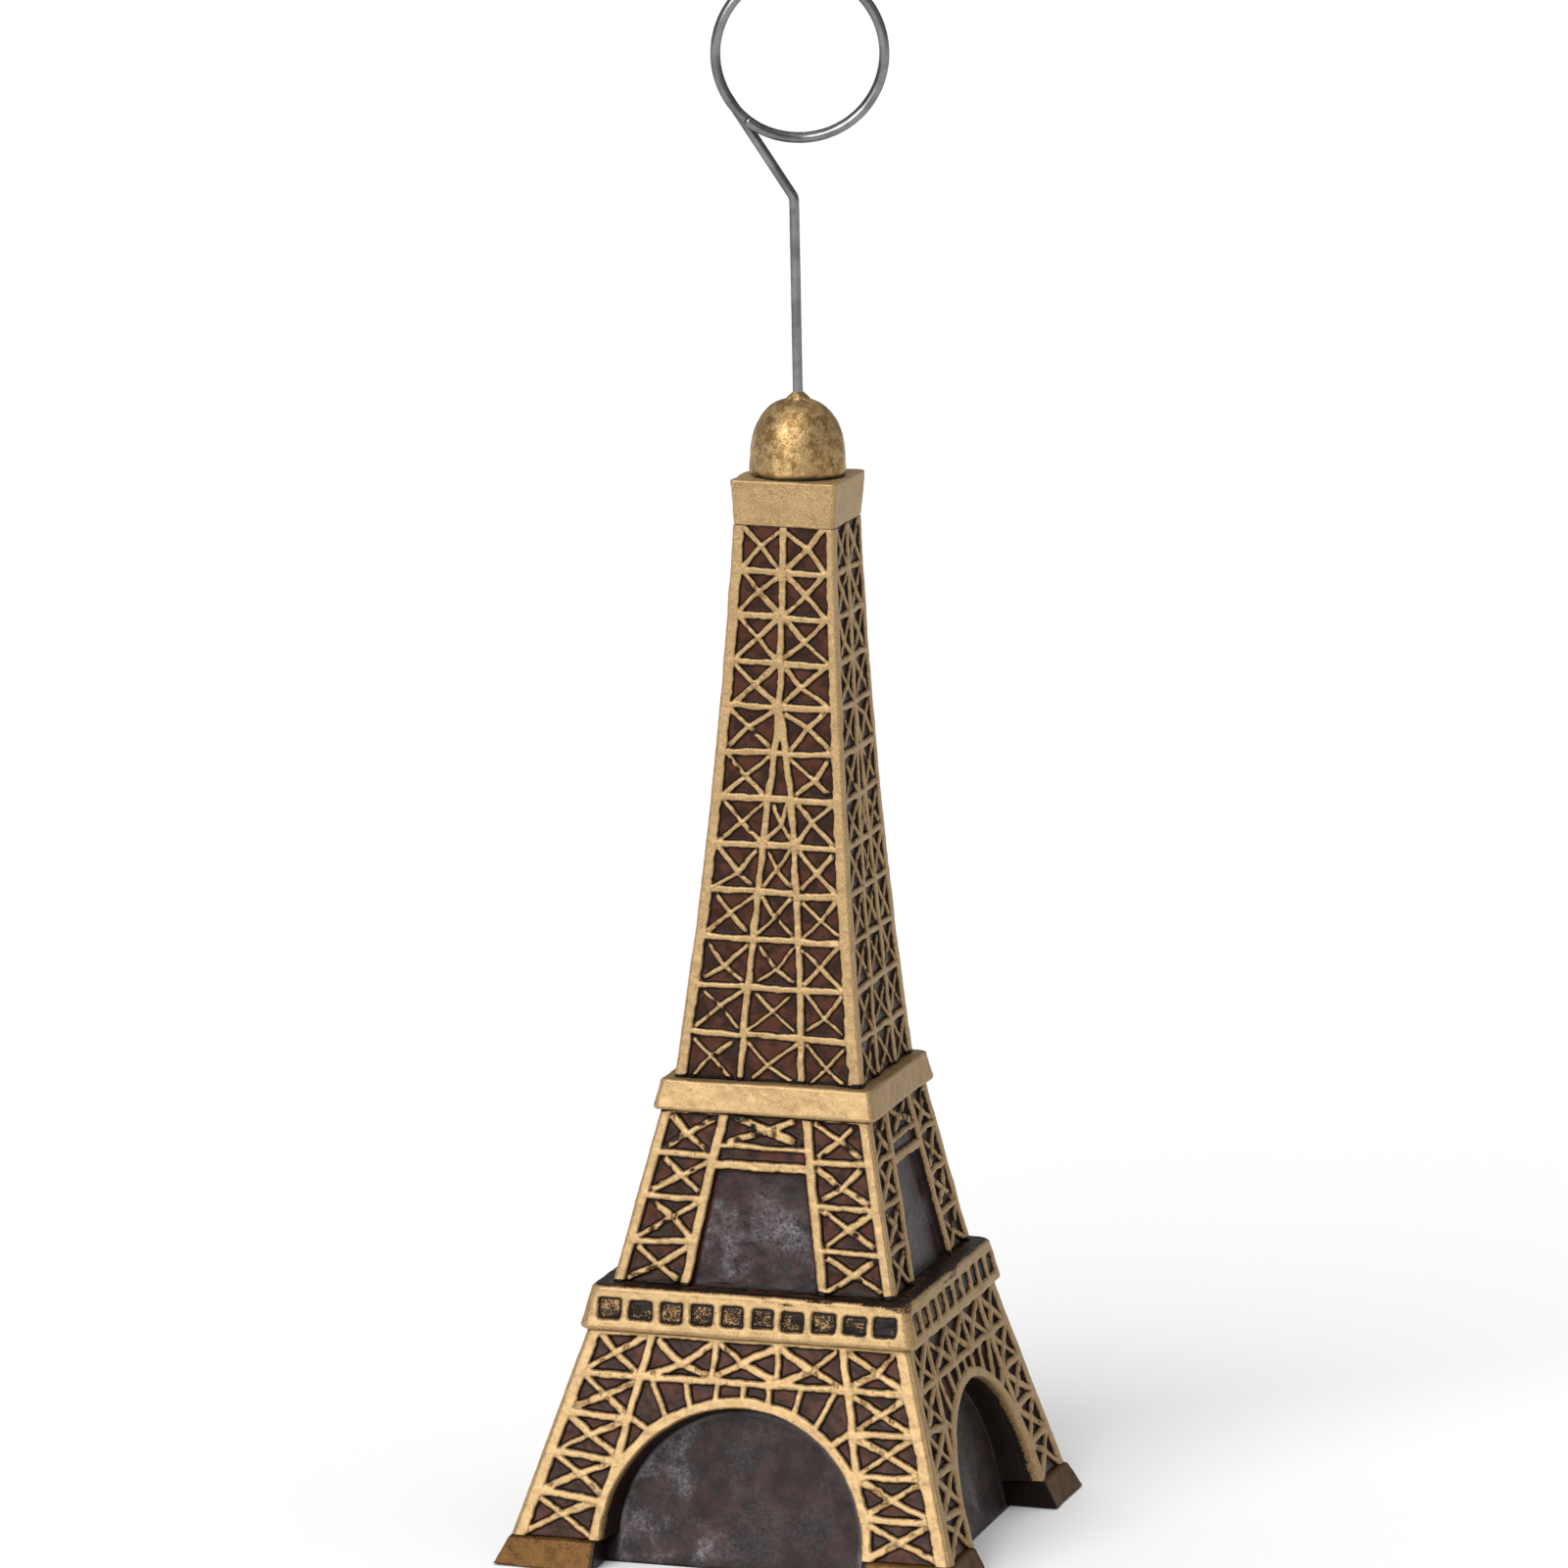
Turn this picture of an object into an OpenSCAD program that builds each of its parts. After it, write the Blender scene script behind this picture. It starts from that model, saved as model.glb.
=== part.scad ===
// Lattice tower photo holder: a cast resin weight shaped as a four-legged lattice tower,
// with a round wire clip glued into its dome.
// Millimetres, +Z up, the front face looks along -Y, the origin is the middle of the underside.

/* [Heights] */
// Top of the four corner plinths
plinth_top_z = 3.3; // [3:0.1:4]
// Top of the leg stage, where the gallery starts
leg_stage_top_z = 25.9; // [24:0.1:27]
// Top of the gallery
gallery_top_z = 31; // [29:0.1:32]
// Top of the middle stage, where the band starts
middle_top_z = 50.3; // [48:0.1:51]
// Top of the band, where the shaft starts
band_top_z = 53.8; // [52.5:0.1:55]
// Top of the shaft, where the cabin starts
shaft_top_z = 116.1; // [110:0.1:118]
// Top of the cabin, where the dome starts
cabin_top_z = 121.3; // [119.5:0.1:122.5]
// Top of the dome
dome_top_z = 130; // [128:0.1:132]

/* [Half widths] */
// Plinths, at the table
plinth_foot_half = 27.5; // [26.5:0.1:28.5]
// Leg stage, at its bottom
leg_bottom_half = 25.6; // [25:0.1:26.5]
// Leg stage, at its top
leg_top_half = 18.8; // [18:0.1:19.2]
// Gallery, at its bottom
gallery_bottom_half = 19.6; // [19.3:0.1:20.5]
// Gallery, at its top
gallery_top_half = 18.6; // [18:0.1:19.5]
// Middle stage, at its bottom
middle_bottom_half = 16.5; // [16:0.1:17]
// Middle stage, at its top
middle_top_half = 12.2; // [12:0.1:12.6]
// Band, at its bottom
band_bottom_half = 13; // [12.7:0.1:13.4]
// Band, at its top
band_top_half = 12.4; // [12:0.1:12.8]
// Shaft, at its bottom
shaft_bottom_half = 11; // [10.6:0.1:11.4]
// Shaft, at its top
shaft_top_half = 5.9; // [5.6:0.1:6]
// How far the shaft's sides curve inwards at mid height
shaft_hollow = 0.6; // [0.2:0.1:1]
// Cabin, at its bottom
cabin_bottom_half = 5.9; // [5.6:0.1:6]
// Cabin, at its top
cabin_top_half = 6.2; // [6:0.1:6.6]

/* [Arches] */
// Radius of each arch opening
arch_r = 15.3; // [15:0.1:15.3]
// Width of the raised rim round each arch
arch_rim_w = 1.1; // [0.8:0.1:1.4]
// Half width of the recessed core, at the table
core_bottom_half = 21.6; // [21.5:0.1:22.6]
// Half width of the recessed core, under the gallery
core_top_half = 16; // [15:0.1:16.5]
// Distance from the face's middle to a leg's inner edge, at the bottom
leg_inner_bottom = 15.3; // [15.3:0.1:16]
// Distance from the face's middle to a leg's inner edge, at the top
leg_inner_top = 10.6; // [10:0.1:11.5]

/* [Raised lattice] */
// How far the lattice stands out of the leg and middle stages
relief_h = 0.6; // [0.4:0.05:0.8]
// How far the lattice stands out of the shaft
shaft_relief_h = 0.45; // [0.3:0.05:0.6]
// Width of the leg stage's upright posts
post_w = 1.4; // [1:0.1:1.8]
// Width of the leg and middle stages' bars
bar_w = 0.8; // [0.6:0.05:1]
// Width of the shaft's corner posts
shaft_post_w = 1.3; // [1:0.1:1.6]
// Width of the shaft's bars
shaft_bar_w = 0.6; // [0.45:0.05:0.8]
// Rows of crossed bars on the shaft
shaft_rows = 12; // [8:1:14]
// Height where the shaft's middle bar divides in two
shaft_fork_z = 94.5; // [85:0.5:100]

/* [Gallery windows] */
// Windows on each side
windows = 10; // [6:1:10]
// Width of a window
window_w = 2.4; // [1.8:0.1:2.6]
// Height of a window
window_h = 2.1; // [1.5:0.1:2.4]
// Depth of a window
window_depth = 0.6; // [0.4:0.1:1]

/* [Dome and clip] */
// Radius of the dome's foot
dome_r = 5.6; // [5.2:0.1:5.8]
// Diameter of the clip's wire
wire_d = 1.1; // [0.9:0.05:1.3]
// Depth that the wire is glued into the dome
wire_seat = 6.5; // [4:0.5:7.5]
// Height of the straight stem above the dome
stem_rise = 22.5; // [18:0.1:30]
// How far the stem leans to the left, in degrees
stem_lean = 1.4; // [0:0.1:3]
// Mean radius of the ring
ring_r = 9.4; // [8.5:0.1:10.5]
// Height of the ring's centre above the dome
ring_rise = 38.7; // [37:0.1:46]
// Direction that the ring faces, turned from the front towards the right side
ring_turn = 16; // [0:1:30]
// Space between the ring's two turns
turn_gap = 0.04; // [0.03:0.01:0.1]

/* [Hidden] */
$fn = 64;

dark = "#3b2a2a";
gold = "#c9a25f";
bronze = "#8a6a3c";
steel = "#9a9a9a";

reach = 60;
leg_rows = 4;
middle_rows = 4;
shaft_steps = 16;
arch_bar_z = leg_stage_top_z - 4.7;
deck_t = 0.8;
deck_half = 17;
panel_top_z = 44.1;
slot_top_z = 46.4;
middle_post_w = 1.15;
// Struts over the arch, from the middle out: where each stands on the rim and meets the bar.
strut_feet = [0, 3, 6.1, 8.7];
strut_heads = [0, 3, 6.8, 10.8];
kite_z = 17;
kite_foot = 10.7;
arch_join_z = 12.8;
// The shaft's lowest row starts behind the band, and its rows get a little shorter upwards.
row_sink = 0.8;
row_power = 0.955;
fork_power = 0.68;
dome_power = 2.5;
dome_steps = 14;
bore_clear = 0.05;
collar_r = 1.6;
collar_top_r = 0.75;
collar_h = 1.1;
collar_sink = 0.4;

// Profiles are lists of [half width, height], from the bottom up.
plinth_profile = [[plinth_foot_half, 0], [leg_bottom_half + 0.3, plinth_top_z]];
leg_profile = [[leg_bottom_half, plinth_top_z], [leg_top_half, leg_stage_top_z]];
core_profile = [[core_bottom_half, 0], [core_top_half, leg_stage_top_z]];
gallery_profile = [[gallery_bottom_half, leg_stage_top_z], [gallery_top_half, gallery_top_z]];
middle_profile = [[middle_bottom_half, gallery_top_z], [middle_top_half, middle_top_z]];
middle_inner_profile = [[7.5, gallery_top_z], [4.2, middle_top_z]];
band_profile = [[band_bottom_half, middle_top_z], [band_top_half, band_top_z]];
cabin_profile = [[cabin_bottom_half, shaft_top_z], [cabin_top_half, cabin_top_z]];

function shrink(profile, by) = [for (p = profile) [p[0] - by, p[1]]];
function mix(a, b, t) = a + (b - a) * t;
function half_at(profile, z) =
    mix(profile[0][0], profile[1][0], (z - profile[0][1]) / (profile[1][1] - profile[0][1]));

function shaft_half(z) =
    let (t = (z - band_top_z) / (shaft_top_z - band_top_z))
    mix(shaft_bottom_half, shaft_top_half, t) - 4 * shaft_hollow * t * (1 - t);
function shaft_profile() =
    [for (i = [0 : shaft_steps])
        let (z = mix(band_top_z, shaft_top_z, i / shaft_steps)) [shaft_half(z), z]];
// Height of the arch rim's outer edge, at a distance x from the face's middle.
function rim_z(x) = plinth_top_z + sqrt(pow(arch_r + arch_rim_w, 2) - pow(x, 2));
function leg_inner(z) =
    mix(leg_inner_bottom, leg_inner_top,
        (z - plinth_top_z) / (leg_stage_top_z - plinth_top_z));

// A square body with the same profile on all four sides.
module square_body(profile) {
    n = len(profile);
    outline = concat(profile, [for (i = [n - 1 : -1 : 0]) [-profile[i][0], profile[i][1]]]);
    intersection() {
        rotate([90, 0, 0]) linear_extrude(2 * reach, center = true) polygon(outline);
        rotate([90, 0, 90]) linear_extrude(2 * reach, center = true) polygon(outline);
    }
}

// The quarter of space in front of the tower, bounded by the two diagonals.
module front_quarter() {
    linear_extrude(dome_top_z) polygon([[0, 0], [-reach, -reach], [reach, -reach]]);
}

// A drawing of the front face, in width and height, pushed through the front half of the tower.
module through_front() {
    rotate([90, 0, 0]) linear_extrude(reach) children();
}

// A drawing raised on the front face, between two profiles.
module raised_front(outer, inner) {
    intersection() {
        difference() {
            square_body(outer);
            square_body(inner);
        }
        front_quarter();
        through_front() children();
    }
}

// A triangle moved in by d on every side.
function inset(t, d) =
    let (a = norm(t[1] - t[2]), b = norm(t[2] - t[0]), c = norm(t[0] - t[1]),
        centre = (a * t[0] + b * t[1] + c * t[2]) / (a + b + c),
        area = abs(cross(t[1] - t[0], t[2] - t[0])) / 2,
        share = d * (a + b + c) / (2 * area))
    [for (p = t) mix(p, centre, share)];

// The four pockets that two crossed bars of width w leave in a cell. Its corners run
// bottom left, bottom right, top right, top left, along the middles of the bars round it.
module crossed_cell(corners, w) {
    centre = (corners[0] + corners[1] + corners[2] + corners[3]) / 4;
    for (i = [0 : 3])
        polygon(inset([corners[i], corners[(i + 1) % 4], centre], w / 2));
}

module both_sides() {
    children();
    mirror([1, 0]) children();
}

// ---- Leg stage ----

module plinth(turn) {
    color(bronze) rotate([0, 0, turn]) difference() {
        intersection() {
            square_body(plinth_profile);
            translate([leg_inner_bottom, -reach - leg_inner_bottom, 0]) cube([reach, reach, plinth_top_z]);
        }
        square_body(core_profile);
    }
}

module leg_drawing() {
    difference() {
        polygon([[leg_inner_bottom, plinth_top_z], [reach, plinth_top_z],
                 [reach, leg_stage_top_z], [leg_inner_top, leg_stage_top_z]]);
        translate([0, plinth_top_z]) circle(arch_r);
    }
}

module leg(turn) {
    color(dark) rotate([0, 0, turn]) difference() {
        intersection() {
            square_body(shrink(leg_profile, relief_h));
            rotate([90, 0, 0]) linear_extrude(reach) leg_drawing();
            rotate([90, 0, 90]) linear_extrude(reach) mirror([1, 0]) leg_drawing();
        }
        square_body(core_profile);
    }
}

module arch_wall_drawing() {
    difference() {
        polygon([[-leg_inner_bottom, plinth_top_z], [leg_inner_bottom, plinth_top_z],
                 [leg_inner_top, leg_stage_top_z], [-leg_inner_top, leg_stage_top_z]]);
        translate([0, plinth_top_z]) circle(arch_r);
    }
}

module arch_wall(turn) {
    color(dark) rotate([0, 0, turn])
        raised_front(shrink(leg_profile, relief_h), core_profile) arch_wall_drawing();
}

// The pockets between the struts that stand on the arch rim and carry the bar above it.
module strut_pockets() {
    top_z = arch_bar_z - bar_w / 2 - 0.1;
    for (i = [0 : len(strut_feet) - 2]) polygon([
        [strut_heads[i] + bar_w / 2, top_z], [strut_heads[i + 1] - bar_w / 2, top_z],
        [strut_feet[i + 1] - bar_w / 2, rim_z(strut_feet[i + 1]) - 1],
        [strut_feet[i] + bar_w / 2, rim_z(strut_feet[i]) - 1]]);
    last_foot = strut_feet[len(strut_feet) - 1] + bar_w / 2;
    polygon([[leg_inner(top_z) - 0.2, top_z - 0.3], [leg_inner(kite_z), kite_z],
             [kite_foot, rim_z(kite_foot) - 0.2], [last_foot, rim_z(last_foot) - 0.5]]);
    polygon([[leg_inner(kite_z - bar_w), kite_z - bar_w],
             [kite_foot, rim_z(kite_foot) - 1.5 * bar_w], [leg_inner(arch_join_z), arch_join_z]]);
}

function leg_cell_corners(z0, z1) =
    let (inner = post_w - bar_w / 2, outer = bar_w / 2 - post_w)
    [[leg_inner(z0) + inner, z0], [half_at(leg_profile, z0) + outer, z0],
     [half_at(leg_profile, z1) + outer, z1], [leg_inner(z1) + inner, z1]];

module leg_pockets() {
    for (i = [0 : leg_rows - 1])
        crossed_cell(leg_cell_corners(mix(plinth_top_z, arch_bar_z, i / leg_rows),
            mix(plinth_top_z, arch_bar_z, (i + 1) / leg_rows)), bar_w);
    crossed_cell(leg_cell_corners(arch_bar_z, leg_stage_top_z), bar_w);
}

// Three crossed cells in a row above the arch.
module top_row_pockets() {
    for (i = [-1 : 1])
        crossed_cell([[(2 * i - 1) * leg_inner(arch_bar_z) / 3, arch_bar_z],
            [(2 * i + 1) * leg_inner(arch_bar_z) / 3, arch_bar_z],
            [(2 * i + 1) * leg_inner_top / 3, leg_stage_top_z],
            [(2 * i - 1) * leg_inner_top / 3, leg_stage_top_z]], bar_w);
}

module leg_lattice_drawing() {
    difference() {
        translate([-reach, plinth_top_z]) square([2 * reach, leg_stage_top_z - plinth_top_z]);
        translate([0, plinth_top_z]) circle(arch_r);
        top_row_pockets();
        both_sides() {
            leg_pockets();
            difference() {
                strut_pockets();
                translate([0, plinth_top_z]) circle(arch_r + arch_rim_w);
            }
        }
    }
}

module leg_lattice(turn) {
    color(gold) rotate([0, 0, turn])
        raised_front(leg_profile, shrink(leg_profile, relief_h)) leg_lattice_drawing();
}

module recessed_core() {
    color(dark) square_body(core_profile);
}

// ---- Gallery ----

module window_drawing() {
    pitch = 2 * (gallery_top_half - 0.8) / windows;
    window_z = mix(leg_stage_top_z, gallery_top_z, 0.5);
    for (i = [0 : windows - 1])
        translate([(i + 0.5 - windows / 2) * pitch, window_z])
            square([window_w, window_h], center = true);
}

module gallery() {
    color(gold) difference() {
        square_body(gallery_profile);
        for (turn = [0 : 90 : 270]) rotate([0, 0, turn])
            raised_front(gallery_profile, shrink(gallery_profile, window_depth)) window_drawing();
        translate([0, 0, gallery_top_z - deck_t / 2])
            cube([2 * deck_half, 2 * deck_half, deck_t], center = true);
    }
}

module gallery_deck() {
    color(dark) translate([0, 0, gallery_top_z - deck_t / 2])
        cube([2 * deck_half, 2 * deck_half, deck_t], center = true);
}

// ---- Middle stage ----

// Inner edge of a leg's inner post on the middle stage.
function middle_inner(z) = half_at(middle_inner_profile, z);
function middle_cell_corners(z0, z1) =
    let (inner = middle_post_w - bar_w / 2, outer = bar_w / 2 - post_w)
    [[middle_inner(z0) + inner, z0], [half_at(middle_profile, z0) + outer, z0],
     [half_at(middle_profile, z1) + outer, z1], [middle_inner(z1) + inner, z1]];

module middle_lattice_drawing() {
    slot_bottom_z = panel_top_z + bar_w;
    difference() {
        translate([-reach, gallery_top_z]) square([2 * reach, middle_top_z - gallery_top_z]);
        both_sides() for (i = [0 : middle_rows - 1])
            crossed_cell(middle_cell_corners(mix(gallery_top_z, middle_top_z, i / middle_rows),
                mix(gallery_top_z, middle_top_z, (i + 1) / middle_rows)), bar_w);
        polygon([[-middle_inner(gallery_top_z), gallery_top_z],
                 [middle_inner(gallery_top_z), gallery_top_z],
                 [middle_inner(panel_top_z), panel_top_z],
                 [-middle_inner(panel_top_z), panel_top_z]]);
        polygon([[-middle_inner(slot_bottom_z), slot_bottom_z],
                 [middle_inner(slot_bottom_z), slot_bottom_z],
                 [middle_inner(slot_top_z), slot_top_z], [-middle_inner(slot_top_z), slot_top_z]]);
        crossed_cell([[-middle_inner(slot_top_z), slot_top_z + bar_w / 2],
            [middle_inner(slot_top_z), slot_top_z + bar_w / 2],
            [middle_inner(middle_top_z), middle_top_z],
            [-middle_inner(middle_top_z), middle_top_z]], bar_w);
    }
}

module middle_core() {
    color(dark) square_body(shrink(middle_profile, relief_h));
}

module middle_lattice(turn) {
    color(gold) rotate([0, 0, turn])
        raised_front(middle_profile, shrink(middle_profile, relief_h)) middle_lattice_drawing();
}

module band() {
    color(gold) square_body(band_profile);
}

// ---- Shaft ----

function shaft_row_z(i) = mix(band_top_z - row_sink, shaft_top_z, pow(i / shaft_rows, row_power));
// Half the spacing of the two bars below the fork, 0 above it.
function fork_half(z) =
    let (left = (shaft_fork_z - z) / (shaft_fork_z - band_top_z))
    left <= 0 ? 0 : shaft_bottom_half / 3 * pow(min(1, left), fork_power);

function shaft_outer(z) = shaft_half(z) - shaft_post_w + shaft_bar_w / 2;

module shaft_row_pockets(i) {
    z0 = shaft_row_z(i);
    z1 = shaft_row_z(i + 1);
    f0 = fork_half(z0);
    f1 = fork_half(z1);
    both_sides() crossed_cell([[f0, z0], [shaft_outer(z0), z0],
        [shaft_outer(z1), z1], [f1, z1]], shaft_bar_w);
    edge = shaft_bar_w / 2;
    if (f1 > 2 * shaft_bar_w)
        crossed_cell([[-f0, z0], [f0, z0], [f1, z1], [-f1, z1]], shaft_bar_w);
    else if (f0 > shaft_bar_w) polygon([[edge - f0, z0 + edge], [f0 - edge, z0 + edge],
        [max(f1 - edge, edge / 4), z1 - edge], [-max(f1 - edge, edge / 4), z1 - edge]]);
}

module shaft_lattice_drawing() {
    difference() {
        translate([-reach, band_top_z]) square([2 * reach, shaft_top_z - band_top_z]);
        for (i = [0 : shaft_rows - 1]) shaft_row_pockets(i);
    }
}

module shaft_core() {
    color(dark) square_body(shrink(shaft_profile(), shaft_relief_h));
}

module shaft_lattice(turn) {
    color(gold) rotate([0, 0, turn])
        raised_front(shaft_profile(), shrink(shaft_profile(), shaft_relief_h)) shaft_lattice_drawing();
}

// ---- Cabin and dome ----

module cabin() {
    color(gold) square_body(cabin_profile);
}

function dome_radius(z) =
    dome_r * pow(max(0, 1 - pow(z / (dome_top_z - cabin_top_z), dome_power)), 1 / dome_power);

module dome_solid() {
    rise = dome_top_z - cabin_top_z;
    translate([0, 0, cabin_top_z]) rotate_extrude()
        polygon(concat([[0, 0]], [for (i = [0 : dome_steps])
            let (z = rise * sin(90 * i / dome_steps)) [dome_radius(z), z]]));
}

module dome() {
    color(gold) difference() {
        dome_solid();
        stem_frame() translate([0, 0, -wire_seat]) cylinder(d = wire_d + 2 * bore_clear, h = 2 * wire_seat);
    }
}

// A lump of painted glue where the wire leaves the dome.
module glue_collar() {
    color(gold) difference() {
        translate([0, 0, dome_top_z - collar_sink]) cylinder(r1 = collar_r, r2 = collar_top_r, h = collar_h);
        dome_solid();
        stem_frame() translate([0, 0, -collar_h])
            cylinder(d = wire_d + 2 * bore_clear, h = 3 * collar_h);
    }
}

// ---- Wire clip ----
// The clip is drawn in the plane of its ring: x across the ring, z up, y away from the viewer.

bend_z = stem_rise;
bend_x = -stem_rise * tan(stem_lean);
to_centre = [-bend_x, ring_rise - bend_z];
centre_angle = atan2(to_centre[1], to_centre[0]);
tangent_length = sqrt(pow(norm(to_centre), 2) - pow(ring_r, 2));
arm_angle = centre_angle + asin(ring_r / norm(to_centre));
tangent_angle = arm_angle + 90;
stem_angle = 90 + stem_lean;
wire_sides = 16;
bend_r = 1.6;
bend_steps = 6;
bend_trim = bend_r * tan((arm_angle - stem_angle) / 2);

// Clockwise travel from the tangent point, in degrees.
handover = 300;
ring_start_gap = 0.6;
free_end = 704;
helix_length = 44;
ring_step = 6;

module clip_frame() {
    translate([0, 0, dome_top_z]) rotate([0, 0, ring_turn]) children();
}

module stem_frame() {
    clip_frame() rotate([0, -stem_lean, 0]) children();
}

// The corners of one cross-section of the wire, at [x, y, z], heading at an angle in the clip's plane.
function wire_section(at, heading) =
    [for (k = [0 : wire_sides - 1]) let (b = 360 * k / wire_sides, r = wire_d / 2)
        at + [-r * cos(b) * sin(heading), r * sin(b), r * cos(b) * cos(heading)]];

// A closed tube through a list of cross-sections.
module wire_tube(sections) {
    last = len(sections) - 1;
    faces = concat(
        [[for (k = [wire_sides - 1 : -1 : 0]) k]],
        [[for (k = [0 : wire_sides - 1]) last * wire_sides + k]],
        [for (i = [0 : last - 1]) for (k = [0 : wire_sides - 1])
            let (m = (k + 1) % wire_sides, a = i * wire_sides, b = a + wire_sides)
            [a + k, a + m, b + m, b + k]]);
    polyhedron([for (section = sections) for (p = section) p], faces, convexity = 6);
}

function on_bend(heading) =
    [bend_x - bend_trim * cos(stem_angle) - bend_r * sin(stem_angle) + bend_r * sin(heading), 0,
     bend_z - bend_trim * sin(stem_angle) + bend_r * cos(stem_angle) - bend_r * cos(heading)];

module wire_stem() {
    headings = [for (i = [0 : bend_steps]) mix(stem_angle, arm_angle, i / bend_steps)];
    color(steel) clip_frame() wire_tube(concat(
        [wire_section(-wire_seat * [cos(stem_angle), 0, sin(stem_angle)], stem_angle)],
        [for (h = headings) wire_section(on_bend(h), h)],
        [wire_section([ring_r * cos(tangent_angle), 0, ring_rise + ring_r * sin(tangent_angle)],
            arm_angle)]));
}

module ring_rear_turn() {
    color(steel) clip_frame() translate([0, 0, ring_rise]) rotate([90, 0, 0])
        rotate([0, 0, tangent_angle - handover])
            rotate_extrude(angle = handover) translate([ring_r, 0]) circle(d = wire_d);
}

// Depth of the wire's middle behind the viewer's side of the ring, after t degrees of travel.
function ease(t) = let (u = max(0, min(1, t))) u * u * (3 - 2 * u);
function turn_depth(t) =
    -(wire_d + turn_gap) * (ease((t - handover) / helix_length)
        + ease((t - handover - 360) / helix_length));

module ring_front_turn() {
    steps = ceil((free_end - handover) / ring_step);
    color(steel) clip_frame() translate([0, 0, ring_rise]) wire_tube(
        [for (i = [0 : steps])
            let (t = mix(handover + ring_start_gap, free_end, i / steps), a = tangent_angle - t)
            wire_section([ring_r * cos(a), turn_depth(t), ring_r * sin(a)], a - 90)]);
}

recessed_core();
plinth(270);  // plinth_front_left
plinth(0);  // plinth_front_right
plinth(90);  // plinth_back_right
plinth(180);  // plinth_back_left
leg(270);  // leg_front_left
leg(0);  // leg_front_right
leg(90);  // leg_back_right
leg(180);  // leg_back_left
arch_wall(0);  // arch_wall_front
arch_wall(90);  // arch_wall_right
arch_wall(180);  // arch_wall_back
arch_wall(270);  // arch_wall_left
leg_lattice(0);  // leg_lattice_front
leg_lattice(90);  // leg_lattice_right
leg_lattice(180);  // leg_lattice_back
leg_lattice(270);  // leg_lattice_left
gallery();
gallery_deck();
middle_core();
middle_lattice(0);  // middle_lattice_front
middle_lattice(90);  // middle_lattice_right
middle_lattice(180);  // middle_lattice_back
middle_lattice(270);  // middle_lattice_left
band();
shaft_core();
shaft_lattice(0);  // shaft_lattice_front
shaft_lattice(90);  // shaft_lattice_right
shaft_lattice(180);  // shaft_lattice_back
shaft_lattice(270);  // shaft_lattice_left
cabin();
dome();
glue_collar();
wire_stem();
ring_rear_turn();
ring_front_turn();
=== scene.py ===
"""The looks of the lattice tower photo holder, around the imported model.

The tower is one painted casting, so its surface is made of relief skins: grids over each face,
pushed inwards between the bars, whose relief also says where the gold paint sits.
Mesh code works in millimetres, with the front face towards -Y, and mesh_piece() turns them into metres.
"""
import math

import bpy
import numpy as np
from mathutils import Matrix, Vector


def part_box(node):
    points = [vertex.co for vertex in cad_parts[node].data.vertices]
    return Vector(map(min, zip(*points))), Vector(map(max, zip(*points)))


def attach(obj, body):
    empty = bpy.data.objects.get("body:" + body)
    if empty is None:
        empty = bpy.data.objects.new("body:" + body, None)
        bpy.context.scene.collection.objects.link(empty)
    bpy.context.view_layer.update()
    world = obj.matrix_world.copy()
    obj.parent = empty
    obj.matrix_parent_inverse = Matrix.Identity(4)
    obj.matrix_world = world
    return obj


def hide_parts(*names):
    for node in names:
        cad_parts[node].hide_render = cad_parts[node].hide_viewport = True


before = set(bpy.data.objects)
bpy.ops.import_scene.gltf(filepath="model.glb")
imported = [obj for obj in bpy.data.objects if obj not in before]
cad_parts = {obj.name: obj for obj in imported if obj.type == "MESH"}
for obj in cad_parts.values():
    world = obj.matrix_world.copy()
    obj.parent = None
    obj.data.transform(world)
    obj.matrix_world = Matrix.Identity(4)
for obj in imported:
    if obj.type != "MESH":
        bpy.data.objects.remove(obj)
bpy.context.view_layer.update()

MM = 0.001
FACES = (("front", 0), ("right", 90), ("back", 180), ("left", 270))


def low(node):
    """The low corner of a node's box, in millimetres."""
    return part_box(node)[0] / MM


def high(node):
    """The high corner of a node's box, in millimetres."""
    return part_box(node)[1] / MM


# ---- Sizes, in millimetres, from the frame ----

FOOT_Z = high("plinth_front_left").z
LEG_TOP_Z = low("gallery").z
GALLERY_TOP_Z = high("gallery").z
MIDDLE_TOP_Z = low("band").z
BAND_TOP_Z = high("band").z
SHAFT_TOP_Z = low("cabin").z
CABIN_TOP_Z = high("cabin").z
# The dome's box stops lower than its top, at the edge of the wire's hole.
DOME_TOP_Z = 130.0

PLINTH_HALF = high("plinth_front_right").x
LEG_HALF = (high("leg_lattice_front").x, 18.8)
CORE_HALF = (high("recessed_core").x, 16.0)
GALLERY_HALF = (high("gallery").x, 18.6)
DECK_HALF = high("gallery_deck").x
MIDDLE_HALF = (high("middle_lattice_front").x, 12.2)
BAND_HALF = (high("band").x, 12.4)
SHAFT_HALF = (high("shaft_lattice_front").x, 5.9)
SHAFT_HOLLOW = 0.6
CABIN_HALF = (5.9, high("cabin").x)
DOME_R = high("dome").x

# ---- The relief's own sizes, in millimetres ----

RELIEF = 0.6
SHAFT_RELIEF = 0.45
POST_W = 1.4
BAR_W = 0.8
ARCH_R = 15.3
RIM_W = 1.1
ARCH_BAR_Z = LEG_TOP_Z - 4.7
LEG_INNER = (15.3, 10.6)
LEG_INNER_W = 1.0
LEG_CORNER_W = 1.75
SKIN_STEP = 0.125


def mix(a, b, t):
    return a + (b - a) * t


def smooth(t):
    t = np.clip(t, 0, 1)
    return t * t * (3 - 2 * t)


def along(pair, z, z0, z1):
    """A value that goes straight from pair[0] at height z0 to pair[1] at z1."""
    return mix(pair[0], pair[1], (z - z0) / (z1 - z0))


# ---- Noise ----

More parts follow.
